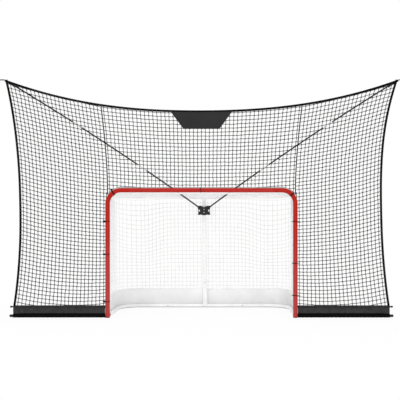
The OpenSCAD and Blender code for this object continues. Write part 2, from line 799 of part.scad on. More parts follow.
// The rope's edges run beside the panels' own points
module seam_tapes() {
    n = center_cells[1];
    rows = side_cells[1];
    low = seam_z0;
    beside = [for (j = [1:rows - 1]) if (side_in(j / rows).y > seam_free_z + seam_w)
        side_in(j / rows) - [seat, 0]];
    inner = concat([[seam_x0 - seam_w / 2, low]],
        [for (j = [0:n]) mid_side(j / n) + [seat, 0]]);
    outer = concat([[seam_x0 + seam_w / 2, low], [seam_x0 + seam_w / 2, seam_free_z]], beside,
        [[seam_top_x + seam_w / 2, seam_out_z - seat]]);
    color([0.06, 0.06, 0.06]) both_sides() upright(tape_t) linear_extrude(tape_t)
        polygon(concat(outer,
            [for (i = [len(inner) - 1:-1:0]) [inner[i].x, min(inner[i].y, seam_in_z - seat)]]));
}

module banner() {
    n = 6;
    top = [for (i = [0:n]) let (x = banner_top_x * (1 - 2 * i / n)) [x, top_edge(x) - 5]];
    color([0.22, 0.22, 0.23]) translate([0, -tape_h - seat - 1, 0]) upright(2) linear_extrude(2)
        polygon(concat([[-banner_bottom_x, banner_z], [banner_bottom_x, banner_z]], top));
}

module corner_tabs() {
    w = 10;
    color([0.2, 0.2, 0.2]) both_sides() translate([0, -tape_h - seat - 1.5, 0]) upright(3) linear_extrude(3)
        polygon([[corner_x - 50, top_edge(corner_x - 50) - 2 - w], [corner_x - 4, corner_z - 4 - w],
            [corner_x + 56, corner_z - 2 - w], [corner_x + 56, corner_z - 2], [corner_x - 8, corner_z - 3],
            [corner_x - 50, top_edge(corner_x - 50) - 2]]);
}

// ---------- skirts and their arms ----------

skirt_from = post_x + post_r + skirt_gap;

module skirt() {
    color([0.13, 0.13, 0.13]) translate([skirt_from, 0, 0]) rotate([90, 0, 90])
        linear_extrude(hem_x - skirt_from) difference() {
            union() {
                translate([0, arm_upper_z]) circle(r = hem_upper_d / 2);
                translate([0, arm_lower_z]) circle(r = hem_lower_d / 2);
                translate([-skirt_t / 2, arm_lower_z]) square([skirt_t, arm_upper_z - arm_lower_z]);
            }
            translate([0, arm_upper_z]) circle(r = arm_upper_d / 2 + fit);
            translate([0, arm_lower_z]) circle(r = arm_lower_d / 2 + fit);
        }
}
module skirt_left() { mirror([1, 0, 0]) skirt(); }
module skirt_right() { skirt(); }

module arm(z, d, bore) {
    from = post_x + post_r + seat;
    color("dimgray") translate([from, 0, z]) rotate([0, 90, 0]) tube(arm_end_x - from, d / 2, bore);
}
module arm_upper_left() { mirror([1, 0, 0]) arm_upper_right(); }
module arm_upper_right() { arm(arm_upper_z, arm_upper_d, arm_bore_upper); }
module arm_lower_left() { mirror([1, 0, 0]) arm_lower_right(); }
module arm_lower_right() { arm(arm_lower_z, arm_lower_d, arm_bore_lower); }

// A round cap over an arm's end; z along the arm, z = 0 at the arm's end
module end_cap(d, ball_d) {
    difference() {
        union() {
            translate([0, 0, -8]) cylinder(h = 8 + ball_d / 4, r = d / 2 + 2);
            translate([0, 0, ball_d / 4]) sphere(r = ball_d / 2);
        }
        translate([0, 0, -20]) cylinder(h = 20 + fit, r = d / 2 + fit);
    }
}

module arm_end_caps() {
    color([0.05, 0.05, 0.05]) both_sides() {
        translate([arm_end_x, 0, arm_upper_z]) rotate([0, 90, 0]) end_cap(arm_upper_d, 20);
        translate([arm_end_x, 0, arm_lower_z]) rotate([0, 90, 0]) end_cap(arm_lower_d, 28);
    }
}

// ---------- straps ----------

strap_w = 15;
strap_t = 2;
left_straps = [938, 617, 156];
right_straps = [936, 530, 217];

module strap_ring(gap) {
    translate([0, 0, -strap_w / 2]) tube(strap_w, post_r + gap + strap_t, post_r + gap);
}

module post_strap(z) {
    translate([post_x, 0, z]) {
        strap_ring(0.15);
        translate([post_r + 1, -2, -6]) cube([lace_gap - 1 - seat, 4, 12]);
    }
}

module elbow_strap(angle) {
    translate([elbow_x, 0, elbow_z]) rotate([0, -angle, 0]) translate([elbow_r, 0, 0]) strap_ring(0.4);
}

module frame_straps() {
    color([0.07, 0.07, 0.07]) {
        mirror([1, 0, 0]) for (z = left_straps) post_strap(z);
        for (z = right_straps) post_strap(z);
        mirror([1, 0, 0]) elbow_strap(57);
        elbow_strap(30);
        translate([-8, 0, bar_z]) rotate([0, 90, 0]) strap_ring(0.15);
    }
}

// ---------- goal net and base pad ----------

// Planes just outside the rails, at height z
function back_plane(z) = base_y - (z - rail_r) * tan(lean) + skin / cos(lean);
function side_plane(z) = post_x - (z - rail_r) * tan(side_lean) + skin / cos(side_lean);
// Share of the way from the base rail to the top rail
function climb(z) = (z - rail_r) / (top_rail_z - rail_r);
function corner_r(z) = base_corner_r + climb(z) * (top_corner_r - base_corner_r) + skin;
// Where the cut corner meets the side and the back
function knee_side(z) = [side_plane(z), back_plane(z) - corner_r(z) * (1 - chamfer), z];
function knee_back(z) = [side_plane(z) - corner_r(z) * (1 - chamfer), back_plane(z), z];
function side_front(z) = [side_plane(z), net_front_y, z];

roof_x = side_plane(net_rear_z);
roof_knee_y = knee_side(net_rear_z).y;
roof_back_y = back_plane(net_rear_z);
roof_back_x = knee_back(net_rear_z).x;

function unit(a) = a / norm(a);

// Lays children, drawn in x and y, on the plane of the corners a, b and d, outward of it
module on_plane(a, b, d) {
    x = unit(b - a);
    n = unit(cross(x, d - a));
    y = cross(n, x);
    multmatrix([[x.x, y.x, n.x, a.x], [x.y, y.y, n.y, a.y], [x.z, y.z, n.z, a.z], [0, 0, 0, 1]]) children();
}

function flat(p, a, b, d) = let (x = unit(b - a), n = unit(cross(x, d - a)), y = cross(n, x))
    [(p - a) * x, (p - a) * y];

// A net of n gaps between four corners in space, its gaps in rows along a to b
module net_panel(a, b, c, d, n) {
    q = [flat(a, a, b, d), flat(b, a, b, d), flat(c, a, b, d), flat(d, a, b, d)];
    wide = norm(b - a);
    tall = norm(d - a);
    gaps = [for (i = [0:n[0] - 1], j = [0:n[1] - 1])
        let (u = cell_span(i, n[0], wide), v = cell_span(j, n[1], tall))
            [quad_at(q, u[0], v[0]), quad_at(q, u[1], v[0]), quad_at(q, u[1], v[1]), quad_at(q, u[0], v[1])]];
    on_plane(a, b, d) net_sheet(q, gaps, goal_net_t);
}

module plain_panel(a, b, c, d) {
    on_plane(a, b, d) linear_extrude(goal_net_t)
        polygon([flat(a, a, b, d), flat(b, a, b, d), flat(c, a, b, d), flat(d, a, b, d)]);
}

function flip(p) = [-p.x, p.y, p.z];

module goal_net_back() {
    z0 = pad_top_z + seat;
    color("white") net_panel(knee_back(z0), flip(knee_back(z0)), flip(knee_back(net_rear_z)),
        knee_back(net_rear_z), back_cells);
}

module goal_net_side() {
    z0 = pad_top_z + seat;
    color("white") net_panel(side_front(z0), knee_side(z0), knee_side(net_rear_z),
        side_front(net_front_z), flank_cells);
}
module goal_net_left() { mirror([1, 0, 0]) goal_net_side(); }
module goal_net_right() { goal_net_side(); }

module goal_net_corner() {
    z0 = pad_top_z + seat;
    color("white") net_panel(knee_side(z0), knee_back(z0), knee_back(net_rear_z),
        knee_side(net_rear_z), corner_cells);
}
module goal_net_corner_left() { mirror([1, 0, 0]) goal_net_corner(); }
module goal_net_corner_right() { goal_net_corner(); }

module goal_net_top() {
    n = roof_cells;
    rise = atan2(net_front_z - net_rear_z, roof_back_y - net_front_y);
    stretch = 1 / cos(rise);
    outline = [for (p = [[-roof_x, net_front_y], [roof_x, net_front_y], [roof_x, roof_knee_y],
        [roof_back_x, roof_back_y], [-roof_back_x, roof_back_y], [-roof_x, roof_knee_y]])
            [p.x, (p.y - net_front_y) * stretch]];
    gaps = [for (i = [0:n[0] - 1], j = [0:n[1] - 1])
        let (u = cell_span(i, n[0], 2 * roof_back_x), v = cell_span(j, n[1], roof_back_y - net_front_y))
            [for (c = [[u[0], v[0]], [u[1], v[0]], [u[1], v[1]], [u[0], v[1]]])
                let (p = roof_at(c[0], c[1], n[1])) [p.x, (p.y - net_front_y) * stretch]]];
    color("white") translate([0, net_front_y, net_front_z + seat]) rotate([-rise, 0, 0])
        net_sheet(outline, gaps, goal_net_t);
}

module base_pad_back() {
    color("whitesmoke") plain_panel(knee_back(pad_z), flip(knee_back(pad_z)),
        flip(knee_back(pad_top_z)), knee_back(pad_top_z));
}

module base_pad_side() {
    color("whitesmoke")
        plain_panel(side_front(pad_z), knee_side(pad_z), knee_side(pad_top_z), side_front(pad_top_z));
}
module base_pad_left() { mirror([1, 0, 0]) base_pad_side(); }
module base_pad_right() { base_pad_side(); }

module base_pad_corner() {
    color("whitesmoke")
        plain_panel(knee_side(pad_z), knee_back(pad_z), knee_back(pad_top_z), knee_side(pad_top_z));
}
module base_pad_corner_left() { mirror([1, 0, 0]) base_pad_corner(); }
module base_pad_corner_right() { base_pad_corner(); }

placed() {
    left_post();
    right_post();
    crossbar();
    foot_cap_left();
    foot_cap_right();
    base_rail_left();
    base_rail_right();
    base_rail_center();
    center_post();
    top_rail_left();
    top_rail_right();
    top_rail_center();
    frame_screws();
    snap_springs();
    snap_button_bar_left();
    snap_button_bar_right();
    snap_button_base_left();
    snap_button_base_right();
    snap_button_post();
    pole_hub();
    hub_bolts();
    pole_left_inner();
    pole_left_middle();
    pole_left_outer();
    pole_right_inner();
    pole_right_middle();
    pole_right_outer();
    pole_ferrules();
    pole_tips();
    backstop_net_left();
    backstop_net_center();
    backstop_net_right();
    binding_top();
    binding_left();
    binding_right();
    seam_tapes();
    banner();
    skirt_left();
    skirt_right();
    arm_upper_left();
    arm_upper_right();
    arm_lower_left();
    arm_lower_right();
    arm_end_caps();
    corner_pocket_left();
    corner_pocket_right();
    corner_tabs();
    frame_straps();
    goal_net_back();
    goal_net_left();
    goal_net_right();
    goal_net_corner_left();
    goal_net_corner_right();
    goal_net_top();
    base_pad_back();
    base_pad_left();
    base_pad_right();
    base_pad_corner_left();
    base_pad_corner_right();
}
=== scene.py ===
"""Looks of a street hockey goal with a backstop: nets, sewn edges, cloth and paint round the frame."""
import json
import math

import bpy
import numpy as np
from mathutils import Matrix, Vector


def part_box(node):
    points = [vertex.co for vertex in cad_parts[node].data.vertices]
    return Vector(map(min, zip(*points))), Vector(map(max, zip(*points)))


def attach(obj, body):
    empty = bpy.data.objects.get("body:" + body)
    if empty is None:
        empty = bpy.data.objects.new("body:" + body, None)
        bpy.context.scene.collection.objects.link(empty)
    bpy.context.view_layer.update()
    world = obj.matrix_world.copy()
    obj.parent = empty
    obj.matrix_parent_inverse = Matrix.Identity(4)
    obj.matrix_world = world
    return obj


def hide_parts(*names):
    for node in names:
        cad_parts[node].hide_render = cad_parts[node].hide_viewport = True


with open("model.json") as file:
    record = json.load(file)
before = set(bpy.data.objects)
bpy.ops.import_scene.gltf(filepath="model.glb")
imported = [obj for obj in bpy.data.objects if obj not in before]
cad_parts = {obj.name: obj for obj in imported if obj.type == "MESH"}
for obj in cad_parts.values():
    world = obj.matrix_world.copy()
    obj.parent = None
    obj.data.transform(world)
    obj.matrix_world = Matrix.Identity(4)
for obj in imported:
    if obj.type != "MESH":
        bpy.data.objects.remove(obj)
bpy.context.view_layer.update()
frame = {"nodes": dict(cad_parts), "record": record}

ROOT = "goal_frame"
MM = 0.001
SIDES = (("right", 1), ("left", -1))
rng = np.random.default_rng(7)

# ---------- sizes, in metres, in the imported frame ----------

foot_low, foot_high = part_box("foot_cap_right")
POST_X = (foot_low.x + foot_high.x) / 2
POST_Y = (foot_low.y + foot_high.y) / 2
POST_R = (foot_high.x - foot_low.x) / 2
bar_low, bar_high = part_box("crossbar")
BAR_Z = (bar_low.z + bar_high.z) / 2
ELBOW_R = 0.130
ELBOW_X = POST_X - ELBOW_R
ELBOW_Z = BAR_Z - ELBOW_R
rail_low, rail_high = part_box("base_rail_right")
RAIL_R = (rail_high.z - rail_low.z) / 2
BASE_Y = rail_high.y - RAIL_R
top_low, top_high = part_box("top_rail_right")
TOP_Y = top_high.y - RAIL_R
TOP_Z = (top_low.z + top_high.z) / 2
TOP_X = top_high.x - RAIL_R
BASE_CORNER_R = 0.225
TOP_CORNER_R = 0.205

side_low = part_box("backstop_net_right")[0]
crown_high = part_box("binding_top")[1]
HEM_Z = side_low.z
CORNER_X = crown_high.x
CORNER_Z = crown_high.z
HEM_X = 1.834
WAIST_X = 1.767
WAIST_Z = 1.080
TOP_MID_Z = 2.019
TAPE_W = 0.022
TAPE_T = 0.0045
NET_POST_X = side_low.x
BAR_TOP = BAR_Z + POST_R + 2.7 * MM
SEAM_X0 = POST_X + 1 * MM
SEAM_LEAN = 0.059

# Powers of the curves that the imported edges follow
TOP_CURVE = 2.35
ABOVE_WAIST_CURVE = 2.5
BELOW_WAIST_CURVE = 2.2
SEAM_CURVE = 1.6

# How far the sewn edges hang out of true
TOP_LIFT = 4.5 * MM
HANG_RIGHT = 14 * MM
HANG_LEFT = 17 * MM


def top_edge(x):
    """Outer edge of the top binding, a little higher on the right than on the left."""
    rise = (CORNER_Z - TOP_MID_Z) * (np.abs(x) / CORNER_X) ** TOP_CURVE
    return TOP_MID_Z + rise + TOP_LIFT * np.sin(np.pi * np.clip(x / CORNER_X, 0, 1))


def side_edge(z, sign):
    """Outer edge of a side binding: the left one hangs out and the right one in, below the corners."""
    z = np.asarray(z, float)
    up = np.clip((z - WAIST_Z) / (CORNER_Z - WAIST_Z), 0, None) ** ABOVE_WAIST_CURVE
    down = np.clip((WAIST_Z - z) / (WAIST_Z - HEM_Z), 0, None) ** BELOW_WAIST_CURVE
    share = np.clip((z - HEM_Z) / (CORNER_Z - HEM_Z), 0, 1)
    hang = (HANG_LEFT if sign < 0 else -HANG_RIGHT) * np.sin(np.pi * share**2.2)
    return WAIST_X + (CORNER_X - WAIST_X) * up + (HEM_X - WAIST_X) * down + hang


def seam_x(z):
    """Middle of the rope between the centre panel and a side panel."""
    z = np.asarray(z, float)
    share = np.clip((z - BAR_TOP) / (TOP_MID_Z - BAR_TOP), 0, None)
    return SEAM_X0 + SEAM_LEAN * share**SEAM_CURVE


def panel_inner(z):
    """Edge of a side panel toward the goal."""
    start = ELBOW_Z + 0.040
    share = np.clip((np.asarray(z, float) - start) / (BAR_Z - start), 0, 1)
    return np.where(z < BAR_Z, NET_POST_X + (SEAM_X0 + 5 * MM - NET_POST_X) * share, seam_x(z) + 5 * MM)


# ---------- camera ----------

CAMERA_X = 0.330
CAMERA_Z = 0.923
CAMERA_DISTANCE = 5.845
CAMERA_SHIFT = (-0.0884, 0.0571)


def make_camera():
    """The photograph's place: right of the middle, at chest height, level and square to the goal."""
    data = bpy.data.cameras.new("camera")
    data.lens = 54
    data.sensor_width = 36
    data.shift_x, data.shift_y = CAMERA_SHIFT
    camera = bpy.data.objects.new("camera", data)
    camera.location = (CAMERA_X, POST_Y - CAMERA_DISTANCE, CAMERA_Z)
    camera.rotation_euler = (math.radians(90), 0, 0)
    bpy.context.collection.objects.link(camera)
    bpy.context.scene.camera = camera


make_camera()

# ---------- materials ----------


class Nodes:
    """A short way to write a material's nodes."""

    def __init__(self, name):
        self.material = bpy.data.materials.new(name)
        self.material.use_nodes = True
        self.tree = self.material.node_tree
        self.shader = self.tree.nodes["Principled BSDF"]
        self.place = self.add("ShaderNodeTexCoord").outputs["Object"]

    def add(self, kind, **settings):
        node = self.tree.nodes.new(kind)
        for key, value in settings.items():
            if hasattr(node, key):
                setattr(node, key, value)
            else:
                node.inputs[key.replace("_", " ")].default_value = value
        return node

    def link(self, out, into):
        self.tree.links.new(out, into)

    def noise(self, scale, detail=3.0, rough=0.55, stretch=(1, 1, 1)):
        node = self.add("ShaderNodeTexNoise", Scale=scale, Detail=detail, Roughness=rough)
        return self.mapped(node, Scale=stretch)

    def wave(self, scale, turn=(0, 0, 0), distortion=0.4):
        node = self.add("ShaderNodeTexWave", Scale=scale, Distortion=distortion)
        return self.mapped(node, Rotation=turn)

    def mapped(self, node, **mapping):
        """A texture's pattern, stretched or turned on the piece."""
        change = self.add("ShaderNodeMapping", **mapping)
        self.link(self.place, change.inputs["Vector"])
        self.link(change.outputs["Vector"], node.inputs["Vector"])
        return node.outputs["Fac"]

    def ramp(self, fac, low, high, start=0.3, end=0.7):
        node = self.add("ShaderNodeValToRGB")
        for stop, place, colour in zip(node.color_ramp.elements, (start, end), (low, high)):
            stop.position = place
            stop.color = (*colour, 1)
        self.link(fac, node.inputs["Fac"])
        return node.outputs["Color"]

    def ranged(self, value, **ends):
        node = self.add("ShaderNodeMapRange", **ends)
        self.link(value, node.inputs["Value"])
        return node.outputs["Result"]

    def span(self, fac, low, high):
        return self.ranged(fac, To_Min=low, To_Max=high)

    def axes(self):
        """The X, Y and Z of the place on the piece."""
        node = self.add("ShaderNodeSeparateXYZ")
        self.link(self.place, node.inputs[0])
        return node.outputs

    def between(self, value, start, end, top=1.0):
        """0 at start and top at end, with a soft step."""
        return self.ranged(value, interpolation_type="SMOOTHSTEP", From_Min=start, From_Max=end, To_Max=top)

    def blend(self, fac, a, b):
        node = self.add("ShaderNodeMix", data_type="RGBA", blend_type="MIX")
        self.link(fac, node.inputs["Factor"])
        for socket, value in (("A", a), ("B", b)):
            into = [s for s in node.inputs if s.name == socket and s.type == "RGBA"][0]
            if isinstance(value, tuple):
                into.default_value = (*value, 1)
            else:
                self.link(value, into)
        return [s for s in node.outputs if s.type == "RGBA"][0]

    def math(self, operation, a, b):
        node = self.add("ShaderNodeMath", operation=operation)
        for i, value in enumerate((a, b)):
            if isinstance(value, (int, float)):
                node.inputs[i].default_value = value
            else:
                self.link(value, node.inputs[i])
        return node.outputs[0]

    def bump(self, height, distance, strength=0.6):
        node = self.add("ShaderNodeBump", Strength=strength, Distance=distance)
        self.link(height, node.inputs["Height"])
        self.link(node.outputs["Normal"], self.shader.inputs["Normal"])

    def set(self, **values):
        for key, value in values.items():
            self.shader.inputs[key.replace("_", " ")].default_value = value

    def colour(self, out):
        self.link(out, self.shader.inputs["Base Color"])

    def roughness(self, fac, low, high):
        self.link(self.span(fac, low, high), self.shader.inputs["Roughness"])


def shade(colour, k):
    return tuple(min(1.0, c * k) for c in colour)


def enamel(name, colour, scuff_and_shade, lower_light=None, rear=None, gloss=0.20):
    """Powder-coated tube: a little orange peel, faint clouding, scuffs near the floor, and painted shade on
    its lowest 12 mm.

    With a paler lower colour, the paint pales to it toward the floor, as painted light on the lower posts.
    With rear, what lies behind the posts takes that colour, as the stubs of the rear frame do.
    """
    n = Nodes(name)
    base = n.ramp(n.noise(9, 4), shade(colour, 0.93), shade(colour, 1.05))
    axes = n.axes()
    # Painted light: the red pales toward the floor, from 1 m down to 0.15 m.
    if lower_light:
        base = n.blend(n.between(axes["Z"], 1.0, 0.15), base, lower_light)
    if rear:
        behind = n.math("GREATER_THAN", axes["Y"], POST_Y + POST_R + STUB_RED)
        base = n.blend(behind, base, rear)
    marks = n.math("GREATER_THAN", n.noise(160, 6, 0.7, (1, 1, 0.25)), 0.67)
    marks = n.math("MULTIPLY", marks, n.between(axes["Z"], 0.35, 0.0))
    # Painted shade: the lowest 12 mm darken to the scuff colour, where the tube meets the floor.
    floor_contact_shade = n.between(axes["Z"], 0.012, 0.003)
    n.colour(n.blend(n.math("MAXIMUM", marks, floor_contact_shade), base, scuff_and_shade))
    n.roughness(n.noise(40, 4), 0.24, 0.40)
    n.bump(n.noise(700, 2), 0.00012, 0.5)
    n.set(Specular_IOR_Level=gloss, Coat_Weight=0.15 * gloss, Coat_Roughness=0.15)
    return n.material


def plastic(name, colour, rough):
    """Moulded plastic with a fine grain."""
    n = Nodes(name)
    n.colour(n.ramp(n.noise(30, 4), shade(colour, 0.8), shade(colour, 1.25)))
    n.roughness(n.noise(90, 4), rough - 0.08, rough + 0.08)
    n.bump(n.noise(1400, 3), 0.00015, 0.5)
    n.set(Specular_IOR_Level=0.3)
    return n.material


def metal(name, colour, rough):
    """Drawn or plated metal with fine lines."""
    n = Nodes(name)
    n.colour(n.ramp(n.noise(60, 3), shade(colour, 0.88), shade(colour, 1.06)))
    n.roughness(n.noise(500, 4, 0.6, (1, 1, 14)), rough - 0.07, rough + 0.1)
    n.bump(n.noise(900, 3, 0.6, (1, 1, 18)), 0.00005, 0.4)
    n.set(Metallic=1.0)
    return n.material


def cord(name, colour, sheen, mottle_and_hollow_shade=1.0, shade_lift=None):
    """Twisted or braided cord: slanting strands, dusty variation and painted shade in the hollows of the
    twist; the fourth argument sets how strong the variation and the painted shade are.

    Given a paler colour, the goal net's sides and top take it: painted light that lifts the shade they lie
    in.
    """
    n = Nodes(name)
    clouds = n.ramp(n.noise(6, 4), shade(colour, 1 - 0.18 * mottle_and_hollow_shade), shade(colour, 1 + 0.15 * mottle_and_hollow_shade))
    twist = n.wave(420, (0.4, 0.9, 0.6))
    # Painted shade: the strands darken in the grooves of the twist.
    twisted = n.blend(n.span(twist, 0.0, 0.35), clouds, shade(colour, 1 - 0.45 * mottle_and_hollow_shade))
    # Painted light: the net's sides and top are made paler.
    if shade_lift:
        axes = n.axes()
        aside = n.between(n.math("ABSOLUTE", axes["X"], 0), 0.72, 0.86, 0.6)
        above = n.between(axes["Z"], TOP_Z - 0.08, TOP_Z - 0.04)
        twisted = n.blend(n.math("MAXIMUM", aside, above), twisted, shade_lift)
    n.colour(twisted)
    n.roughness(n.noise(200, 2), 0.70, 0.92)
    n.bump(twist, 0.0006, 0.7)
    n.set(Specular_IOR_Level=0.12, Sheen_Weight=sheen, Sheen_Roughness=0.5)
    return n.material


def webbing(name, colour, sheen=0.04):
    """Woven tape: fine ribs across and along it."""
    n = Nodes(name)
    across = n.wave(310, (0, 0, 0), 0.3)
    along = n.wave(310, (0, math.radians(90), 0), 0.3)
    weave = n.math("MAXIMUM", across, along)
    clouds = n.ramp(n.noise(14, 4), shade(colour, 0.8), shade(colour, 1.2))
    # Painted shade: the troughs between the ribs darken toward 0.45 of the colour.
    n.colour(n.blend(n.span(weave, 0.35, 0.0), clouds, shade(colour, 0.45)))
    n.roughness(n.noise(120, 3), 0.62, 0.85)
    n.bump(weave, 0.0004, 0.6)
    n.set(Specular_IOR_Level=0.04, Sheen_Weight=sheen, Sheen_Roughness=0.45)
    return n.material


def cloth(name, colour, rough, sheen, mottle_and_hollow_shade=1.0, foot=None, patches=5):
    """Coated woven cloth: a fine plain weave under soft creases, with painted shade in the weave's troughs;
    with foot, painted shade darkens it toward the floor.
    """
    n = Nodes(name)
    warp = n.wave(520, (0, 0, 0), 0.2)
    weft = n.wave(520, (0, math.radians(90), 0), 0.2)
    weave = n.math("MULTIPLY", warp, weft)
    creases = n.noise(26, 5, 0.6, (1, 1, 0.6))
    clouds = n.ramp(n.noise(patches, 5), shade(colour, 1 - 0.14 * mottle_and_hollow_shade), shade(colour, 1 + 0.12 * mottle_and_hollow_shade))
    # Painted shade: the troughs of the weave are darker.
    woven = n.blend(n.span(weave, 0.22, 0.0), clouds, shade(colour, 1 - 0.4 * mottle_and_hollow_shade))
    # Painted shade: with foot, the cloth darkens from that height down to the floor.
    if foot:
        woven = n.blend(n.between(n.axes()["Z"], foot, 0.0, 0.19), woven, shade(colour, 0.35))
    n.colour(woven)
    n.roughness(creases, rough - 0.1, rough + 0.1)
    relief = n.math("ADD", n.math("MULTIPLY", weave, 0.35), creases)
    n.bump(relief, 0.0006, 0.55)
    n.set(Specular_IOR_Level=0.15, Sheen_Weight=sheen, Sheen_Roughness=0.4)
    return n.material


STUB_RED = 40 * MM
RED = (0.405, 0.012, 0.006)
# The red tubes' scuff colour, also used for the painted shade along the floor.
SCUFF_AND_SHADE = (0.28, 0.014, 0.010)
# The paler red of the posts near the floor, as painted light.
LOWER_LIGHT_RED = (0.41, 0.040, 0.037)
WHITE = (0.93, 0.93, 0.93)
MATERIALS = {
    "red_enamel": enamel("red_enamel", RED, SCUFF_AND_SHADE),
    "white_enamel": enamel("white_enamel", WHITE, (0.42, 0.42, 0.41)),
    "zinc_steel": metal("zinc_steel", (0.46, 0.46, 0.47), 0.36),
    "button_chrome": metal("button_chrome", (0.22, 0.22, 0.23), 0.22),
    "spring_steel": metal("spring_steel", (0.40, 0.41, 0.43), 0.35),
    "pole_black": plastic("pole_black", (0.008, 0.008, 0.009), 0.34),
    "ferrule_metal": metal("ferrule_metal", (0.88, 0.88, 0.88), 0.30),
    "hub_plastic": plastic("hub_plastic", (0.008, 0.008, 0.009), 0.45),
    "cap_plastic": plastic("cap_plastic", (0.010, 0.010, 0.011), 0.50),
    "arm_tube": plastic("arm_tube", (0.010, 0.010, 0.011), 0.40),
    "net_black": cord("net_black", (0.056, 0.056, 0.058), 0.0),
    "tape_black": webbing("tape_black", (0.0035, 0.0035, 0.004), 0.0),
    "strap_black": webbing("strap_black", (0.006, 0.006, 0.0065), 0.01),
    # Painted shade: the skirt's strong, small blotches stand in for the shading of its creases.
    "skirt_cloth": cloth("skirt_cloth", (0.036, 0.036, 0.037), 0.60, 0.02, 2.1, patches=24),
    "banner_cloth": cloth("banner_cloth", (0.020, 0.020, 0.021), 0.60, 0.02),
    "net_white": cord("net_white", (0.86, 0.86, 0.86), 0.0, 0.4, shade_lift=(0.97, 0.97, 0.97)),
    "pad_cloth": cloth("pad_cloth", (0.925, 0.925, 0.925), 0.5, 0.0, 0.45, foot=0.24),
}
POST_PAINT = enamel("red_enamel_posts", RED, SCUFF_AND_SHADE, lower_light=LOWER_LIGHT_RED, rear=WHITE, gloss=0.10)
THREAD = cord("thread_grey", (0.040, 0.040, 0.042), 0.05)


def paint_frame():
    """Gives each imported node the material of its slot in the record."""
    for part in frame["record"]["subparts"]:
        node = frame["nodes"][part["node"]]
        node.data.materials.clear()
        is_post = part["node"] in ("left_post", "right_post")
        node.data.materials.append(POST_PAINT if is_post else MATERIALS[part["material_slot"]])


# ---------- mesh helpers ----------

def piece(name, verts, faces, slot, replaces=(), material=None, smooth=True):
    """Makes a mesh object that rides on the frame."""
    mesh = bpy.data.meshes.new(name)
    mesh.from_pydata(np.asarray(verts, float).tolist(), [], [list(map(int, f)) for f in faces])
    mesh.validate()
    mesh.materials.append(material or MATERIALS[slot])
    mesh.polygons.foreach_set("use_smooth", [smooth] * len(mesh.polygons))
    mesh.update()
    obj = bpy.data.objects.new(name, mesh)
    bpy.context.collection.objects.link(obj)
    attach(obj, ROOT)
    if replaces:
        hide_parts(*replaces)
    return obj


class Batch:
    """Collects many small shapes for one mesh."""

    def __init__(self):
        self.verts = []
        self.faces = []
        self.count = 0

    def add(self, verts, faces):
        self.verts.append(np.asarray(verts, float))
        self.faces.extend([tuple(v + self.count for v in f) for f in faces])
        self.count += len(verts)

    def make(self, name, slot, **options):
        return piece(name, np.concatenate(self.verts), self.faces, slot, **options)


def sweep(path, side, up, sections):
    """A closed section, one for each point of the path, in the side and up directions there."""
    path = np.asarray(path, float)
    rings, sides = len(path), len(sections[0])
    sections = np.asarray(sections, float)
    verts = (path[:, None, :] + sections[:, :, :1] * side[:, None, :] + sections[:, :, 1:] * up[:, None, :])
    faces = []
    for i in range(rings - 1):
        for j in range(sides):
            k = (j + 1) % sides
            faces.append((i * sides + j, i * sides + k, (i + 1) * sides + k, (i + 1) * sides + j))
    faces.append(tuple(reversed(range(sides))))
    faces.append(tuple((rings - 1) * sides + j for j in range(sides)))
    return verts.reshape(-1, 3), faces


def frames(path, normal):
    """Side and up directions along a path, with up close to the normal."""
    path = np.asarray(path, float)
    along = np.gradient(path, axis=0)
    along /= np.linalg.norm(along, axis=1)[:, None]
    normal = np.broadcast_to(np.asarray(normal, float), path.shape)
    side = np.cross(along, normal)
    side /= np.linalg.norm(side, axis=1)[:, None]
    return side, np.cross(side, along)


def circle(sides, turn=0.0):
    angles = np.arange(sides) * 2 * np.pi / sides + turn
    return np.stack([np.cos(angles), np.sin(angles)], 1)


def tube(path, radius, normal=(0, 1, 0), sides=8):
    """A round rod along a path; the radius may change along it."""
    path = np.asarray(path, float)
    radius = np.broadcast_to(np.asarray(radius, float), (len(path),))
    side, up = frames(path, normal)
    return sweep(path, side, up, radius[:, None, None] * circle(sides)[None])


def tape(path, width, thick, normal=(0, 1, 0), crown=0.25):
    """A flat band with rounded edges, width across the path and thick along the normal."""
    w, t = width / 2, thick / 2
    section = np.array([
        (-w, -t * crown), (-w + t * 0.7, -t), (0, -t * 1.04), (w - t * 0.7, -t),
        (w, -t * crown), (w, t * crown), (w - t * 0.7, t), (0, t * 1.04), (-w + t * 0.7, t), (-w, t * crown)])
    side, up = frames(path, normal)
    return sweep(path, side, up, np.repeat(section[None], len(path), 0))


def thick_sheet(grid, thick):
    """A cloth of that thickness on a grid of points, rows by columns, closed all round."""
    grid = np.asarray(grid, float)
    rows, cols = grid.shape[:2]
    normal = np.cross(np.gradient(grid, axis=1), np.gradient(grid, axis=0))
    normal /= np.linalg.norm(normal, axis=2)[:, :, None] + 1e-12
    front = (grid + normal * thick / 2).reshape(-1, 3)
    back = (grid - normal * thick / 2).reshape(-1, 3)
    count = rows * cols
    faces = []
    for i in range(rows - 1):
        for j in range(cols - 1):
            a = i * cols + j
            faces.append((a, a + 1, a + cols + 1, a + cols))
            faces.append((count + a, count + a + cols, count + a + cols + 1, count + a + 1))
    rim = list(range(cols))
    rim += [i * cols + cols - 1 for i in range(1, rows)]
    rim += [(rows - 1) * cols + j for j in range(cols - 2, -1, -1)]
    rim += [i * cols for i in range(rows - 2, 0, -1)]
    for a, b in zip(rim, rim[1:] + rim[:1]):
        faces.append((b, a, count + a, count + b))
    return np.concatenate([front, back]), faces


def points_at(x, z, y=POST_Y):
    """Points from their x, z and y, each an array or one number for all."""
    return np.stack(np.broadcast_arrays(x, y, z), -1)


def resample(path, step):
    """The same path with points about a step apart."""
    path = np.asarray(path, float)
    length = np.concatenate([[0], np.cumsum(np.linalg.norm(np.diff(path, axis=0), axis=1))])
    places = np.linspace(0, length[-1], max(2, int(round(length[-1] / step)) + 1))
    return np.stack([np.interp(places, length, path[:, k]) for k in range(3)], 1)


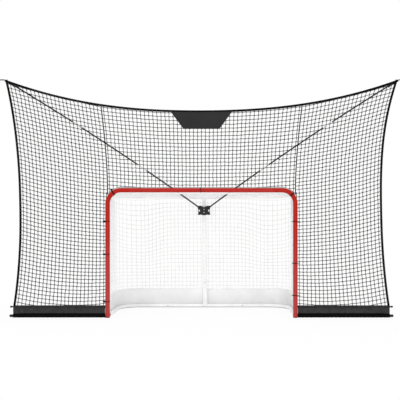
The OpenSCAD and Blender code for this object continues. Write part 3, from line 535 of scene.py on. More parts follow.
def stitch_line(batch, path, pitch=0.0075, length=0.0048, radius=0.00055, normal=(0, -1, 0)):
    """A row of thread stitches along a path that lies on cloth."""
    points = resample(path, pitch)
    for a, b in zip(points, points[1:]):
        way = (b - a) / np.linalg.norm(b - a)
        middle = (a + b) / 2
        lift = np.asarray(normal, float) * radius
        line = [middle - way * length / 2 - lift, middle + lift * 0.6, middle + way * length / 2 - lift]
        batch.add(*tube(line, radius, normal, 4))


# ---------- knotted netting ----------

CORD_R = 3.2 * MM
KNOT_R = 3.5 * MM
WHITE_CORD_R = 2.5 * MM
WHITE_KNOT_R = 2.8 * MM
ROOF_CORD_R = 1.5 * MM
KNOT_HALF = 5 * MM
HITCH_R = 3.9 * MM
HITCH_HALF = 8.5 * MM


def clip_runs(points, margin):
    """The stretches of a strand on which margin is positive, cut where it crosses zero."""
    runs, run = [], []
    for k in range(len(points)):
        inside = margin[k] > 0
        if k and inside != (margin[k - 1] > 0):
            share = margin[k - 1] / (margin[k - 1] - margin[k])
            cut = points[k - 1] + share * (points[k] - points[k - 1])
            run.append((cut, False))
            if not inside:
                runs.append(run)
                run = []
        if inside:
            run.append((points[k], True))
    if len(run) > 1:
        runs.append(run)
    return [r for r in runs if len(r) > 1]


def knot_strand(batch, run, normal, cord_r=CORD_R, knot_r=KNOT_R):
    """One strand as a thin rod that swells at its knots."""
    points, radii, ups = [], [], []
    for k, (p, is_knot) in enumerate(run):
        up = normal[k] if np.ndim(normal) == 2 else normal
        for way in (-1, 0, 1):
            other = k + way
            if way == 0:
                points.append(p)
                radii.append(knot_r if is_knot else cord_r)
                ups.append(up)
            elif is_knot and 0 <= other < len(run):
                step = run[other][0] - p
                size = np.linalg.norm(step)
                if size > 2.2 * KNOT_HALF:
                    points.append(p + step / size * KNOT_HALF)
                    radii.append(cord_r)
                    ups.append(up)
    if len(points) > 1:
        batch.add(*tube(points, radii, np.array(ups), 5))


def hitches(batch, centres, way, normal):
    """A slanting turn of cord over each knot, thick in the middle."""
    way = np.array(way, float) / np.linalg.norm(way)
    side = np.cross(way, normal)
    along = np.array([-1, -0.6, 0, 0.6, 1]) * HITCH_HALF
    swell = np.array([0.35, 0.85, 1, 0.85, 0.35]) * HITCH_R
    ring = circle(6)
    shape = (along[:, None, None] * way + swell[:, None, None] * (
        ring[None, :, :1] * side + ring[None, :, 1:] * np.asarray(normal))).reshape(-1, 3)
    faces = [(i * 6 + j, i * 6 + (j + 1) % 6, i * 6 + 6 + (j + 1) % 6, i * 6 + 6 + j)
             for i in range(4) for j in range(6)] + [(5, 4, 3, 2, 1, 0), (24, 25, 26, 27, 28, 29)]
    for centre in centres:
        batch.add(centre + shape, faces)


def cut_strands(batch, points, margin, normal, cord_r=CORD_R, knot_r=KNOT_R):
    """Rows and columns of knots as strands, cut where the margin crosses zero."""
    for lines, cuts in ((points, margin), (points.transpose(1, 0, 2), margin.T)):
        for line, cut in zip(lines, cuts):
            for run in clip_runs(line, cut):
                knot_strand(batch, run, np.array(normal, float), cord_r, knot_r)


def weave_flat(batch, x, z, y, margin):
    """Rows and columns of a flat net; x, z and y are grids of its knots, margin says where it is cut."""
    points = np.stack([x, y, z], 2)
    inside = margin(x, z)
    cut_strands(batch, points, inside, (0, 1, 0))
    hitches(batch, points[inside > HITCH_HALF], (1, 0, -1), (0, 1, 0))


def ripple(x, z, size):
    """A slow wave out of the net's plane."""
    return size * (np.sin(x * 5.1 + z * 2.3) * np.cos(z * 4.3 - x * 1.7) + 0.5 * np.sin(x * 11.0 - z * 7.0))


def shaken(values, size):
    """The values, each moved by a random amount."""
    return values + rng.normal(0, size, values.shape)


# The rows of a side panel: height at the panel's middle, slope there, and how the slope grows outward
PANEL_MID_X = 1.354
SIDE_COLUMNS = {1: 23, -1: 24}
SIDE_ROW_STEP = 0.0372
KNOT_JITTER = 1.1 * MM
EDGE_MARGIN = 6 * MM


def row_slope(z):
    return 0.030 + 0.215 * z - 0.055 * z**2


def row_curve(z):
    return (0.150 - 0.050 * z) / 0.684


def side_knots(sign):
    """Knots of a side panel, past its edges too, so that the strands can be cut to fit."""
    columns = SIDE_COLUMNS[sign]
    share = np.arange(-3, columns + 4) / columns
    start = np.arange(HEM_Z - 0.25, CORNER_Z + 0.1, SIDE_ROW_STEP)
    share, start = np.meshgrid(share, start)
    z = start.copy()
    for _ in range(4):
        inner = seam_x(z)
        x = inner + share * (side_edge(z, sign) - 0.004 - inner)
        out = x - PANEL_MID_X
        z = start + row_slope(start) * out + row_curve(start) * out**2
    return shaken(x, KNOT_JITTER), shaken(z, KNOT_JITTER)


def side_margin(sign):
    return lambda x, z: np.minimum.reduce([
        side_edge(z, sign) - EDGE_MARGIN - x, top_edge(sign * x) - EDGE_MARGIN - z, z - HEM_Z + 0.001,
        x - panel_inner(z) - 0.002])


CENTER_COLUMNS = 49
CENTER_ROW_STEP = 0.0368


def center_knots():
    """Knots of the centre panel, in rows that are bowed like the top edge, a little less at the crossbar."""
    half = CENTER_COLUMNS // 2 + 1
    share = np.arange(-half, half + 1) / (CENTER_COLUMNS / 2)
    start = np.arange(BAR_TOP - 0.16, CORNER_Z, CENTER_ROW_STEP)
    share, start = np.meshgrid(share, start)
    rise = np.clip((start - BAR_TOP) / (0.8 * (TOP_MID_Z - BAR_TOP)), 0, 1)
    bow = 0.75 + 0.25 * rise * rise * (3 - 2 * rise)
    z = start.copy()
    for _ in range(4):
        x = share * (seam_x(z) - 1 * MM)
        z = start + bow * (top_edge(x) - TOP_MID_Z)
    return shaken(x, KNOT_JITTER), shaken(z, KNOT_JITTER)


ARC_R = ELBOW_R + BAR_TOP - BAR_Z


def center_floor(x):
    """Lower edge of the centre panel, which follows the elbows."""
    out = np.clip(np.abs(x) - ELBOW_X, 0, ARC_R * 0.999)
    return ELBOW_Z + np.sqrt(ARC_R**2 - out**2)


def center_margin(x, z):
    return np.minimum.reduce([
        seam_x(z) - 3 * MM - np.abs(x), top_edge(x) - EDGE_MARGIN - z, z - center_floor(x) - 1 * MM])


def make_backstop_nets():
    for name, sign in SIDES:
        batch = Batch()
        x, z = side_knots(sign)
        y = POST_Y + ripple(x * sign, z, 0.003)
        weave_flat(batch, x, z, y, side_margin(sign))
        edge_z = np.linspace(HEM_Z + 2 * MM, BAR_Z - 0.02, 60)
        batch.add(*tube(points_at(panel_inner(edge_z) + 4 * MM, edge_z), 3.6 * MM))
        hem_x = np.linspace(NET_POST_X, HEM_X - TAPE_W, 40)
        batch.add(*tube(points_at(hem_x, HEM_Z + 2.4 * MM), 2.6 * MM))
        verts = np.concatenate(batch.verts) * np.array([sign, 1, 1])
        faces = batch.faces if sign > 0 else [tuple(reversed(f)) for f in batch.faces]
        piece("backstop_mesh_" + name, verts, faces, "net_black", (f"backstop_net_{name}",))
    batch = Batch()
    x, z = center_knots()
    weave_flat(batch, x, z, POST_Y + ripple(x, z, 0.003), center_margin)
    foot_x = np.linspace(-seam_x(BAR_TOP) + 6 * MM, seam_x(BAR_TOP) - 6 * MM, 160)
    batch.add(*tube(points_at(foot_x, center_floor(foot_x) + 2.4 * MM), 2.2 * MM))
    batch.make("backstop_mesh_center", "net_black", replaces=("backstop_net_center",))


# ---------- bindings, seams, banner ----------

def side_line(inset, sign, steps=70):
    z = np.linspace(HEM_Z, CORNER_Z - 2 * MM, steps)
    return points_at(sign * (side_edge(z, sign) - inset), z)


def top_line(inset, steps=130, reach=1.0):
    x = np.linspace(-reach * CORNER_X, reach * CORNER_X, steps)
    return points_at(x, top_edge(x) - inset)


def seam_line(steps=50):
    low = ELBOW_Z + math.sqrt((ELBOW_R + POST_R) ** 2 - (SEAM_X0 - 5 * MM - ELBOW_X) ** 2)
    z = np.linspace(low + 1 * MM, TOP_MID_Z + 0.050, steps)
    return points_at(seam_x(z), z)


STITCH_INSET = TAPE_W - 3 * MM
TAPE_WOBBLE = 0.6 * MM


def stitch_both(batch, path):
    """A row of stitches on the front and one on the back of a tape."""
    front = np.array([0, -TAPE_T / 2, 0])
    stitch_line(batch, path + front)
    stitch_line(batch, path - front, normal=(0, 1, 0))


def make_bindings():
    """The tapes along the top and the sides, and the ropes between the panels."""
    stitches = Batch()
    top = top_line(TAPE_W / 2)
    top[:, 1] += TAPE_WOBBLE * np.sin(top[:, 0] * 9)
    piece("top_binding", *tape(top, TAPE_W, TAPE_T), "tape_black", ("binding_top",))
    stitch_both(stitches, top_line(STITCH_INSET, reach=0.985))
    for name, sign in SIDES:
        line = side_line(TAPE_W / 2, sign)
        line[:, 1] += TAPE_WOBBLE * np.sin(line[:, 2] * 11 + sign)
        piece("side_binding_" + name, *tape(line, TAPE_W, TAPE_T), "tape_black", (f"binding_{name}",))
        stitch_both(stitches, side_line(STITCH_INSET, sign)[:-3])
    stitches.make("binding_stitches", "tape_black", material=THREAD)
    seams = Batch()
    for sign in (1, -1):
        line = seam_line() * np.array([sign, 1, 1])
        seams.add(*tape(line, 10 * MM, 4.6 * MM))
        for t in np.arange(0, len(line) - 1, 0.5):
            k = int(t)
            p = line[k] + (t - k) * (line[k + 1] - line[k])
            turn = [p + (-5.4 * MM, 0, -2 * MM), p + (0, -2.9 * MM, 0), p + (5.4 * MM, 0, 2 * MM)]
            seams.add(*tube(turn, 0.8 * MM, sides=5))
    seams.make("seam_ropes", "tape_black", replaces=("seam_tapes",))


BANNER_TOP_X = 0.300
BANNER_BOTTOM_X = 0.175
BANNER_Z = 1.837
BANNER_DROP = 17 * MM
HEM_INSET = 5.5 * MM
HEM_SEAM = 1.7


def make_banner():
    """A plain trapezoid of cloth under the top edge, hemmed and sewn through the binding."""
    rows, cols = 26, 70
    v, u = np.meshgrid(np.linspace(0, 1, rows), np.linspace(-1, 1, cols), indexing="ij")
    half = BANNER_BOTTOM_X + (BANNER_TOP_X - BANNER_BOTTOM_X) * v
    x = u * half
    z = BANNER_Z + v * (top_edge(x) - BANNER_DROP - BANNER_Z)
    sag = np.sin(np.pi * v) * (0.6 * np.sin(9 * u + 3 * v) + 0.4 * np.sin(17 * u - 5 * v))
    y = POST_Y - 3.9 * MM + 0.5 * MM * sag
    banner = piece("banner_cloth", *thick_sheet(points_at(x, z, y), 1.4 * MM), "banner_cloth", ("banner",))
    hem_y = POST_Y - 4.9 * MM
    bottom = np.array([BANNER_BOTTOM_X, hem_y, BANNER_Z])
    top = np.array([BANNER_TOP_X, hem_y, top_edge(BANNER_TOP_X) - BANNER_DROP - 1 * MM])
    flip = np.array([-1, 1, 1])
    slant = (top - bottom) / np.linalg.norm(top - bottom)
    up = np.array([0, 0, HEM_INSET])
    inward = np.array([-slant[2], 0, slant[0]]) * HEM_INSET
    edges = ((bottom * flip, bottom, up), (bottom, top, inward), (bottom * flip, top * flip, inward * flip))
    hems, thread = Batch(), Batch()
    for start, end, shift in edges:
        hems.add(*tape(resample([start + shift, end + shift], 0.03), 10 * MM, 1.2 * MM))
        sewn = HEM_SEAM * shift - (0, 0.36 * MM, 0)
        stitch_line(thread, [start + sewn, end + sewn])
    hem = hems.make("banner_hem", "banner_cloth")
    stitches = thread.make("banner_stitches", "banner_cloth", material=THREAD)


# ---------- skirts ----------

SKIRT_FROM = POST_X + POST_R + 1.5 * MM
SKIRT_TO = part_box("skirt_right")[1].x
arm_low, arm_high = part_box("arm_upper_right")
UPPER_Z = (arm_low.z + arm_high.z) / 2
UPPER_R = 0.0077
arm_low, arm_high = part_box("arm_lower_right")
LOWER_Z = (arm_low.z + arm_high.z) / 2
LOWER_R = 0.0166
CLOTH_T = 1.6 * MM


def skirt_profile():
    """The cloth's line seen from its end: round the upper arm, down, and round the lower one."""
    turn = np.radians(np.linspace(-78, 258, 26))
    upper = np.stack([UPPER_R * np.cos(turn), UPPER_Z + UPPER_R * np.sin(turn)], 1)[::-1]
    drop = np.linspace(UPPER_Z - UPPER_R - 4 * MM, LOWER_Z + LOWER_R + 4 * MM, 15)
    web = np.stack([np.zeros(15) - 0.6 * MM, drop], 1)
    turn = np.radians(np.linspace(102, 438, 34))
    lower = np.stack([LOWER_R * np.cos(turn), LOWER_Z + LOWER_R * np.sin(turn)], 1)
    return np.concatenate([upper, web, lower])


PATCH_TOP_Z = 0.090
PATCH_R = 0.052
FOLD_DEPTH = 2.4 * MM
PUCKER = 0.028


def make_skirts():
    """Black cloth stretched over the two arms on each side, with dark sleeves and a sewn end."""
    profile = skirt_profile()
    across, height = profile.T
    stations = np.linspace(SKIRT_FROM, SKIRT_TO, 150)[:, None]
    s = (stations - SKIRT_FROM) / (SKIRT_TO - SKIRT_FROM)
    web_z = (UPPER_Z - UPPER_R + LOWER_Z + LOWER_R) / 2
    in_web = np.clip(1 - np.abs(height - web_z) / (UPPER_Z - UPPER_R - web_z), 0, 1)
    centre = np.where(height > web_z, UPPER_Z, LOWER_Z)
    for name, sign in SIDES:
        phase = 0.0 if sign > 0 else 2.1
        fold = in_web * (np.sin(s * 31 + phase + 27 * height) + 0.7 * np.sin(s * 57 - phase))
        pucker = 1 + PUCKER * np.sin(s * 140 + phase) * (1 - in_web)
        y = POST_Y + across * np.where(in_web == 0, pucker, 1) + FOLD_DEPTH * fold
        z = np.where(in_web == 0, centre + (height - centre) * pucker, height)
        grid = points_at(sign * stations, z, y)
        skirt = piece("skirt_cloth_" + name, *thick_sheet(grid, CLOTH_T), "skirt_cloth", (f"skirt_{name}",))
        skirt.data.materials.append(MATERIALS["tape_black"])
        for face in skirt.data.polygons:
            is_sleeve = face.center.z > UPPER_Z + 4 * MM or face.center.z < LOWER_Z + LOWER_R + 7 * MM
            face.material_index = int(is_sleeve)
        trim = Batch()
        ends = sign * np.array([SKIRT_FROM, SKIRT_TO - 2 * MM])
        for z in (UPPER_Z - UPPER_R - 5 * MM, LOWER_Z + LOWER_R + 9 * MM):
            stitch_line(trim, points_at(ends, z, POST_Y - 2.2 * MM))
        bend = np.linspace(0, np.pi / 2, 24)
        inner_x = sign * (SKIRT_TO - 0.012 - PATCH_R * np.sin(bend))
        curve = points_at(inner_x, PATCH_TOP_Z - PATCH_R * (1 - np.cos(bend)), POST_Y - 2.6 * MM)
        stitch_line(trim, curve)
        sewn = trim.make("skirt_stitches_" + name, "skirt_cloth", material=THREAD)
        patch = corner_patch(sign, curve)


def corner_patch(sign, curve):
    """A second layer sewn on the skirt's outer end, with a rounded inner edge."""
    x, z = curve[:, :1], curve[:, 2:]
    end_x = sign * (SKIRT_TO - 1 * MM)
    grid = points_at(x + np.linspace(0, 1, 12) * (end_x - x), z, POST_Y - 2.0 * MM)
    if sign < 0:
        grid = grid[:, ::-1]
    name = "right" if sign > 0 else "left"
    return piece("skirt_patch_" + name, *thick_sheet(grid, 1.0 * MM), "skirt_cloth")


# ---------- corner pockets and tails ----------

def pole_tip(sign):
    """Where a pole ends, and its direction back toward the hub."""
    low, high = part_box("pole_right_outer")
    head = np.array([CORNER_X - 20 * MM, POST_Y + 16.5 * MM, CORNER_Z - 17 * MM])
    middle = (np.array(low) + np.array(high)) / 2
    way = (middle - head) / np.linalg.norm(middle - head)
    flip = np.array([sign, 1, 1])
    return head * flip, way * flip


def make_corner_pockets():
    """Sewn sleeves that hold the pole tips, on a narrow patch in the angle of the bindings."""
    for name, sign in SIDES:
        head, way = pole_tip(1)
        u, v = np.meshgrid(np.linspace(0, 1, 26), np.linspace(0, 1, 10), indexing="ij")
        x = CORNER_X - 5 * MM - u * 84 * MM
        sleeve_z = head[2] + (x - head[0]) * way[2] / way[0]
        z_high = top_edge(sign * x) - 6 * MM
        z_low = np.minimum(sleeve_z - 7 * MM, z_high - 2 * MM)
        z = z_low + v * (z_high - z_low)
        x = np.minimum(x, side_edge(z, sign) - 4 * MM)
        y = POST_Y + 4.0 * MM + 0.6 * MM * np.sin(9 * u) * np.sin(np.pi * v)
        grid = np.stack([sign * x, y, z], 2)
        piece("pocket_patch_" + name, *thick_sheet(grid, 1.8 * MM), "tape_black")
        drop = np.linspace(0, 1, 14)[:, None]
        across = np.linspace(0, 1, 8)[None, :]
        z = CORNER_Z - 12 * MM - drop * 34 * MM
        reach = (1 - drop) ** 0.7 * 30 * MM + 4 * MM
        x = side_edge(z, sign) - 4 * MM - across * reach
        gusset = points_at(sign * x, z, POST_Y + 4.4 * MM)
        piece("pocket_gusset_" + name, *thick_sheet(gusset, 1.6 * MM), "tape_black")
        make_pole_sleeve(name, sign)
        thread = Batch()
        edge = points_at(grid[:, 1, 0], grid[:, 1, 2] + 2 * MM, POST_Y + 5.2 * MM)
        stitch_line(thread, edge[4:], normal=(0, 1, 0))
        stitch_line(thread, edge[4:] - (0, 2.4 * MM, 0))
        thread.make("pocket_stitches_" + name, "tape_black", material=THREAD)


SLEEVE_R = 11.4
SLEEVE_MOUTH = 84


def make_pole_sleeve(name, sign):
    """The sleeve round a pole's tip, drawn in at its closed end and hemmed at its mouth."""
    head, way = pole_tip(sign)
    stations = np.linspace(-12.5, SLEEVE_MOUTH, 34) * MM
    radius = np.full(34, SLEEVE_R * MM)
    radius[:4] = np.array([3.2, 8.4, 10.6, 11.2]) * MM
    radius *= 1 + 0.035 * np.sin(np.arange(34) * 1.3)
    batch = Batch()
    batch.add(*tube(head + stations[:, None] * way, radius, (0, 1, 0), 20))
    for at, swell in ((76, 15.0), (26, 12.6)):
        ring = head + (at + np.array([-8, -5, 0, 5, 8])[:, None]) * MM * way
        swelling = np.array([SLEEVE_R, swell - 0.8, swell, swell - 0.8, SLEEVE_R]) * MM
        batch.add(*tube(ring, swelling, (0, 1, 0), 20))
    batch.make("pole_sleeve_" + name, "tape_black", replaces=(f"corner_pocket_{name}",))


def make_corner_tails():
    """A webbing tail at each top corner, sewn along the top binding and ending in a hem."""
    low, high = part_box("corner_tabs")
    batch = Batch()
    inward = np.array([50, 40, 30, 20, 10]) * MM
    outward = np.array([4, 16, 30, 44, 56]) * MM
    x = CORNER_X + np.concatenate([-inward, outward])
    free = CORNER_Z - np.array([5.5, 4.6, 4.4, 5.0, 6.2]) * MM
    for sign in (1, -1):
        sewn = top_edge(sign * (CORNER_X - inward)) - 8 * MM
        path = points_at(sign * x, np.concatenate([sewn, free]), (low.y + high.y) / 2)
        batch.add(*tape(resample(path, 6 * MM), 10 * MM, 2.4 * MM))
        batch.add(*tape(path[-2:] + (0, -2.0 * MM, 0), 10 * MM, 1.6 * MM))
    batch.make("corner_tails", "strap_black", replaces=("corner_tabs",))


# ---------- straps ----------

STRAP_W = 7 * MM
ELBOW_STRAP_W = 12 * MM
STRAP_T = 1.6 * MM
LEFT_LOCK_R = 10.5 * MM
LEFT_ELBOW_LOCK_R = 10 * MM
RIGHT_LOCK_R = 5 * MM


def strap_ring(batch, centre, axis, out, width=STRAP_W):
    """A narrow webbing loop round a tube, its overlap on the side that out points to."""
    across = np.cross(axis, out)
    angles = np.linspace(0, 2 * np.pi, 49)
    for a, grow in ((angles, 0.0), (angles[:13] - 0.6, 0.9 * STRAP_T)):
        normal = np.cos(a)[:, None] * out + np.sin(a)[:, None] * across
        ring = centre + (POST_R + 0.2 * MM + STRAP_T / 2 + grow) * normal
        batch.add(*tape(ring, width, STRAP_T, normal))


def toggle(batch, centre, way, radius):
    """A round cord lock through which the loop's two ends go."""
    turn = np.radians(np.linspace(-80, 80, 9))
    line = centre + np.sin(turn)[:, None] * radius * 1.3 * way
    batch.add(*tube(line, radius * np.cos(turn), (0, 1, 0), 12))


LEFT_STRAPS = (0.938, 0.617, 0.156)
RIGHT_STRAPS = (0.936, 0.530, 0.217)
LEFT_ELBOW = math.radians(55)
RIGHT_ELBOW = math.radians(42)


def make_straps():
    """Loops that tie the backstop to the posts, the elbows and the crossbar.

    The left post's locks sit beside the net; the right post's smaller ones sit inside the goal.
    """
    batch = Batch()
    up, left = np.array([0, 0, 1.0]), np.array([-1.0, 0, 0])
    for sign, heights, lock in ((-1, LEFT_STRAPS, LEFT_LOCK_R), (1, RIGHT_STRAPS, RIGHT_LOCK_R)):
        out = np.array([sign, 0.0, 0.0])
        for z in heights:
            centre = np.array([sign * POST_X, POST_Y, z])
            strap_ring(batch, centre, up, left)
            tail = np.array([centre + out * (POST_R + d) for d in (0.001, 0.012, 0.024)])
            batch.add(*tape(tail, STRAP_W, 2.6 * MM))
            toggle(batch, centre + left * (POST_R + 1.1 * lock), out, lock)
    for sign, a, lock in ((-1, LEFT_ELBOW, LEFT_ELBOW_LOCK_R), (1, RIGHT_ELBOW, RIGHT_LOCK_R)):
        radial = np.array([sign * math.cos(a), 0, math.sin(a)])
        along = np.array([-sign * math.sin(a), 0, math.cos(a)])
        centre = np.array([sign * ELBOW_X, POST_Y, ELBOW_Z]) + ELBOW_R * radial
        strap_ring(batch, centre, along, radial, ELBOW_STRAP_W)
        toggle(batch, centre + (POST_R + lock) * radial, radial, lock)
    strap_ring(batch, np.array([-0.008, POST_Y, BAR_Z]), np.array([1.0, 0, 0]), up)
    batch.make("post_straps", "strap_black", replaces=("frame_straps",))


# ---------- goal net and pad ----------

LEAN = math.atan2(BASE_Y - TOP_Y, TOP_Z - RAIL_R)
SIDE_LEAN = math.atan2(POST_X - TOP_X, TOP_Z - RAIL_R)
SKIN = RAIL_R + 2.4 * MM
NET_FRONT_Y = POST_Y + POST_R + 3.5 * MM
PAD_LOW_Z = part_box("base_pad_right")[0].z
PAD_HIGH_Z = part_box("base_pad_right")[1].z
NET_TOP_Z = TOP_Z + RAIL_R + 1 * MM
PARTS = (("side", 8), ("corner", 7), ("back", 17))
WALL_NAMES = ("back", "left", "right", "corner_left", "corner_right")
GOAL_ROWS = 24
DROOP = 0.078
DROOP_TO_SIDE, DROOP_TO_BACK = 0.21, 0.14
WALL_JITTER = 1.0 * MM
ROOF_JITTER = 0.9 * MM


def wall_columns(counts):
    """(part, share) of each column on the right half, from the post to the middle of the back."""
    return [(part, k / n) for part, n in counts for k in range(n)] + [("back", 1.0)]


def wall_point(part, share, z, skin=SKIN):
    """A point of the net's wall at height z, and its outward direction, on the right half."""
    x = POST_X - (z - RAIL_R) * math.tan(SIDE_LEAN) + skin / math.cos(SIDE_LEAN)
    y = BASE_Y - (z - RAIL_R) * math.tan(LEAN) + skin / math.cos(LEAN)
    climb = (z - RAIL_R) / (TOP_Z - RAIL_R)
    r = BASE_CORNER_R + climb * (TOP_CORNER_R - BASE_CORNER_R) + skin
    zero, one = np.zeros_like(z), np.ones_like(z)
    if part == "side":
        return x, NET_FRONT_Y + share * (y - r - NET_FRONT_Y), one, zero
    if part == "corner":
        a = share * math.pi / 2
        return x - r + r * math.cos(a), y - r + r * math.sin(a), one * math.cos(a), one * math.sin(a)
    return (x - r) * (1 - share), y, zero, one


def wall_grid(columns, heights, skin=SKIN, droop=0.0):
    """Points and outward directions over the whole wall, heights by columns, from right to left."""
    points, normals = [], []
    total = len(columns)
    knee = 1.02 * sum(n for _, n in PARTS[:2]) / sum(n for _, n in PARTS)
    for sign, order in ((1, range(total)), (-1, range(total - 2, -1, -1))):
        for k in order:
            place = k / (total - 1)
            width = DROOP_TO_SIDE if place < knee else DROOP_TO_BACK
            dip = droop * np.exp(-((place - knee) / width) ** 2)
            share = (heights - heights[0]) / (heights[-1] - heights[0])
            z = heights - dip * np.sin(np.pi * share**1.5)
            x, y, nx, ny = wall_point(*columns[k], z, skin)
            points.append(np.stack([sign * x, y, z], 1))
            normals.append(np.stack([sign * nx, ny, np.zeros_like(z)], 1))
    return np.array(points).transpose(1, 0, 2), np.array(normals).transpose(1, 0, 2)


def make_goal_net():
    """The white net in one piece round the sides and the back, with its top panel."""
    batch = Batch()
    heights = np.linspace(PAD_HIGH_Z - 0.012, NET_TOP_Z, GOAL_ROWS + 1)
    points, normals = wall_grid(wall_columns(PARTS), heights, droop=DROOP)
    points = shaken(points, WALL_JITTER)
    for lines, ups in ((points, normals), (points.transpose(1, 0, 2), normals.transpose(1, 0, 2))):
        for line, up in zip(lines, ups):
            knot_strand(batch, [(p, True) for p in line], up, WHITE_CORD_R, WHITE_KNOT_R)
    fine_columns = wall_columns([(part, n * 4) for part, n in PARTS])
    for level in (0, -1):
        fine, ups = wall_grid(fine_columns, np.array([heights[level]] * 2) + (0, 1e-6))
        batch.add(*tube(fine[0], 3.6 * MM, ups[0]))
    for sign in (1, -1):
        z = np.linspace(0.015, BAR_Z - 0.085, 40)
        x, y = wall_point("side", 0.0, z)[:2]
        batch.add(*tube(points_at(sign * x, z, y), 3.4 * MM, (1, 0, 0)))
    batch.make("goal_mesh_wall", "net_white", replaces=["goal_net_" + n for n in WALL_NAMES])
    make_roof_net()


# Where a pole goes through the top panel, and through which column and row of meshes
POLE_THROUGH = (0.2585, 0.4265)
POLE_COLUMN, POLE_ROW = 6.5, 10.5
ROOF_COLUMNS, ROOF_ROWS = 24, 14


def roof_outline(y):
    """Half width of the top panel at a depth behind the posts' plane."""
    z = np.full_like(y, NET_TOP_Z)
    x = wall_point("side", 0.0, z)[0]
    rear = wall_point("back", 0.0, z)[1]
    r = TOP_CORNER_R + SKIN
    into = np.clip(y - (rear - r), 0, r)
    return x - r + np.sqrt(np.clip(r**2 - into**2, 0, None))


def make_roof_net():
    """The top panel; its mesh is set out so that each pole goes through the middle of a mesh."""
    column = POLE_THROUGH[0] / POLE_COLUMN
    row = (POST_Y + POLE_THROUGH[1] - NET_FRONT_Y) / POLE_ROW
    rear = float(wall_point("back", 0.0, np.array([NET_TOP_Z]))[1][0])
    xs = np.arange(-ROOF_COLUMNS, ROOF_COLUMNS + 1) * column
    ys = NET_FRONT_Y + np.arange(-1, ROOF_ROWS + 1) * row
    x, y = np.meshgrid(xs, ys)
    x = shaken(x, ROOF_JITTER)
    y = shaken(y, ROOF_JITTER)
    share = np.clip((y - NET_FRONT_Y) / (rear - NET_FRONT_Y), 0, 1)
    front_z = BAR_Z - 3 * MM
    sag = 6 * MM * np.sin(np.pi * share) * (1 - (x / POST_X) ** 2)
    z = front_z + (NET_TOP_Z + 2 * MM - front_z) * share - sag
    margin = np.minimum.reduce([roof_outline(y) - np.abs(x), y - NET_FRONT_Y + 1e-4, rear - y + 1e-4])
    batch = Batch()
    cut_strands(batch, np.stack([x, y, z], 2), margin, (0, 0, 1), ROOF_CORD_R, WHITE_KNOT_R)
    edge_x = np.linspace(-ELBOW_X, ELBOW_X, 60)
    batch.add(*tube(points_at(edge_x, front_z, NET_FRONT_Y), 3.4 * MM, (0, 0, 1)))
    batch.make("goal_mesh_top", "net_white", replaces=("goal_net_top",))


LACE_TURNS = 20
LACE_STEPS = 14
LACE_FROM = 0.06


def make_lacing():
    """White lace wound round the top rail, which it ties to the net's upper edge."""
    batch = Batch()
    half = TOP_X - TOP_CORNER_R - 0.02
    r = RAIL_R + 2.0 * MM
    for sign in (1, -1):
        t = np.linspace(0, 1, LACE_TURNS * LACE_STEPS)
        x = sign * (LACE_FROM + t * (half - LACE_FROM))
        a = t * LACE_TURNS * 2 * np.pi
        path = np.stack([x, TOP_Y + r * np.cos(a), TOP_Z + r * np.sin(a)], 1)
        batch.add(*tube(path, 1.1 * MM, (1, 0, 0), 6))
    batch.make("top_lacing", "net_white")


# Column, slant and depth of each fold at the corners
CORNER_FOLDS = ((62, 9, 1.0), (68, 9, -0.8), (76, 5, 0.8), (83, -6, -0.7))


def make_base_pad():
    """The white cloth along the base, outside the rail, with a hemmed upper edge."""
    columns = wall_columns((("side", 30), ("corner", 24), ("back", 60)))
    heights = np.linspace(PAD_LOW_Z, PAD_HIGH_Z, 14)
    points, normals = wall_grid(columns, heights)
    share = np.linspace(0, 1, len(heights))[:, None]
    run = np.linspace(0, 60, points.shape[1])[None, :]
    wave = np.sin(run * 1.9 + 3 * share) * 0.6 + np.sin(run * 4.3 - 5 * share) * 0.4
    aside = np.abs(np.arange(points.shape[1]) - (points.shape[1] - 1) / 2)
    folds = sum(np.exp(-((aside - c + tilt * share) / 2.6) ** 2) * k for c, tilt, k in CORNER_FOLDS)
    relief = 0.9 * MM * wave * np.sin(np.pi * share) ** 0.8 + 6 * MM * folds * np.sin(np.pi * share) ** 0.5
    points = points + normals * relief[:, :, None]
    nodes = ["base_pad_" + n for n in WALL_NAMES]
    pad = piece("base_pad_cloth", *thick_sheet(points[:, ::-1], 1.6 * MM), "pad_cloth", nodes)
    trim = Batch()
    for level, lift in ((-1, -8 * MM), (0, 7 * MM)):
        z = heights[level] + lift
        line, ups = wall_grid(columns, np.array([z, z + 1e-6]), SKIN - 1.6 * MM)
        trim.add(*tape(line[0], 14 * MM, 1.2 * MM, ups[0]))
    hem = trim.make("base_pad_hem", "pad_cloth")


# ---------- stage and light ----------

FLOOR_LIFT = 0.88


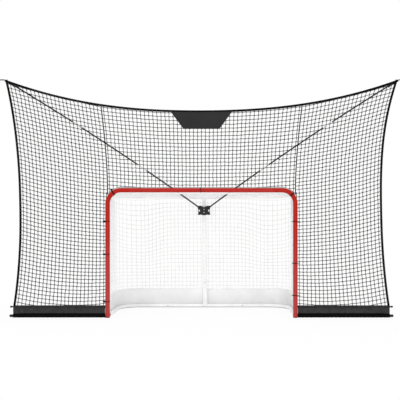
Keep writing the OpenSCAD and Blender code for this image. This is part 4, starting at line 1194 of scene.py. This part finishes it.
def make_stage():
    """A pale floor that the camera sees as white, apart from the goal's soft shadow, fading out far away."""
    bpy.ops.mesh.primitive_circle_add(vertices=96, radius=9, fill_type="NGON", location=(0, 0, 0))
    floor = bpy.context.object
    floor.name = "floor"
    n = Nodes("floor")
    n.set(Roughness=0.9, Specular_IOR_Level=0.1)
    n.colour(n.ramp(n.noise(0.7, 2), (0.93, 0.93, 0.93), (0.95, 0.95, 0.95)))
    rays = n.add("ShaderNodeLightPath").outputs
    seen = n.math("MAXIMUM", rays["Is Camera Ray"], rays["Is Glossy Ray"])
    seen = n.math("MAXIMUM", seen, rays["Is Transmission Ray"])
    glow = n.add("ShaderNodeEmission", Strength=1.0)
    lift = n.add("ShaderNodeMixShader")
    n.link(n.math("MULTIPLY", seen, FLOOR_LIFT), lift.inputs["Fac"])
    n.link(n.shader.outputs[0], lift.inputs[1])
    n.link(glow.outputs[0], lift.inputs[2])
    distance = n.add("ShaderNodeVectorMath", operation="LENGTH")
    n.link(n.place, distance.inputs[0])
    clear = n.add("ShaderNodeBsdfTransparent")
    mix = n.add("ShaderNodeMixShader")
    n.link(n.ranged(distance.outputs["Value"], From_Min=2.0, From_Max=3.6), mix.inputs["Fac"])
    n.link(lift.outputs[0], mix.inputs[1])
    n.link(clear.outputs[0], mix.inputs[2])
    n.link(mix.outputs[0], n.tree.nodes["Material Output"].inputs["Surface"])
    floor.data.materials.append(n.material)


def make_world():
    """A white surround that also lights the goal evenly."""
    world = bpy.data.worlds.new("studio")
    bpy.context.scene.world = world
    world.use_nodes = True
    tree = world.node_tree
    tree.nodes.clear()
    white = tree.nodes.new("ShaderNodeBackground")
    white.inputs["Color"].default_value = (1, 1, 1, 1)
    out = tree.nodes.new("ShaderNodeOutputWorld")
    tree.links.new(white.outputs[0], out.inputs["Surface"])


def make_lamp(name, place, aim, size, watts):
    """A square lamp at a place, turned toward its aim."""
    data = bpy.data.lights.new(name, "AREA")
    data.shape = "SQUARE"
    data.size = size
    data.energy = watts
    lamp = bpy.data.objects.new(name, data)
    lamp.location = place
    way = np.array(aim, float) - np.array(place, float)
    tilt = math.acos(-way[2] / np.linalg.norm(way))
    lamp.rotation_euler = (tilt, 0, math.atan2(way[1], way[0]) - math.pi / 2)
    bpy.context.collection.objects.link(lamp)


paint_frame()
make_backstop_nets()
make_bindings()
make_banner()
make_skirts()
make_corner_pockets()
make_corner_tails()
make_straps()
make_goal_net()
make_lacing()
make_base_pad()
make_stage()
make_world()
make_lamp("key", (-2.6, -4.6, 4.4), (0, 0, 0.9), 3.2, 50)
make_lamp("fill", (1.2, -5.6, 0.65), (0, 0, 1.1), 1.2, 42)
bpy.context.scene.view_settings.view_transform = "Standard"
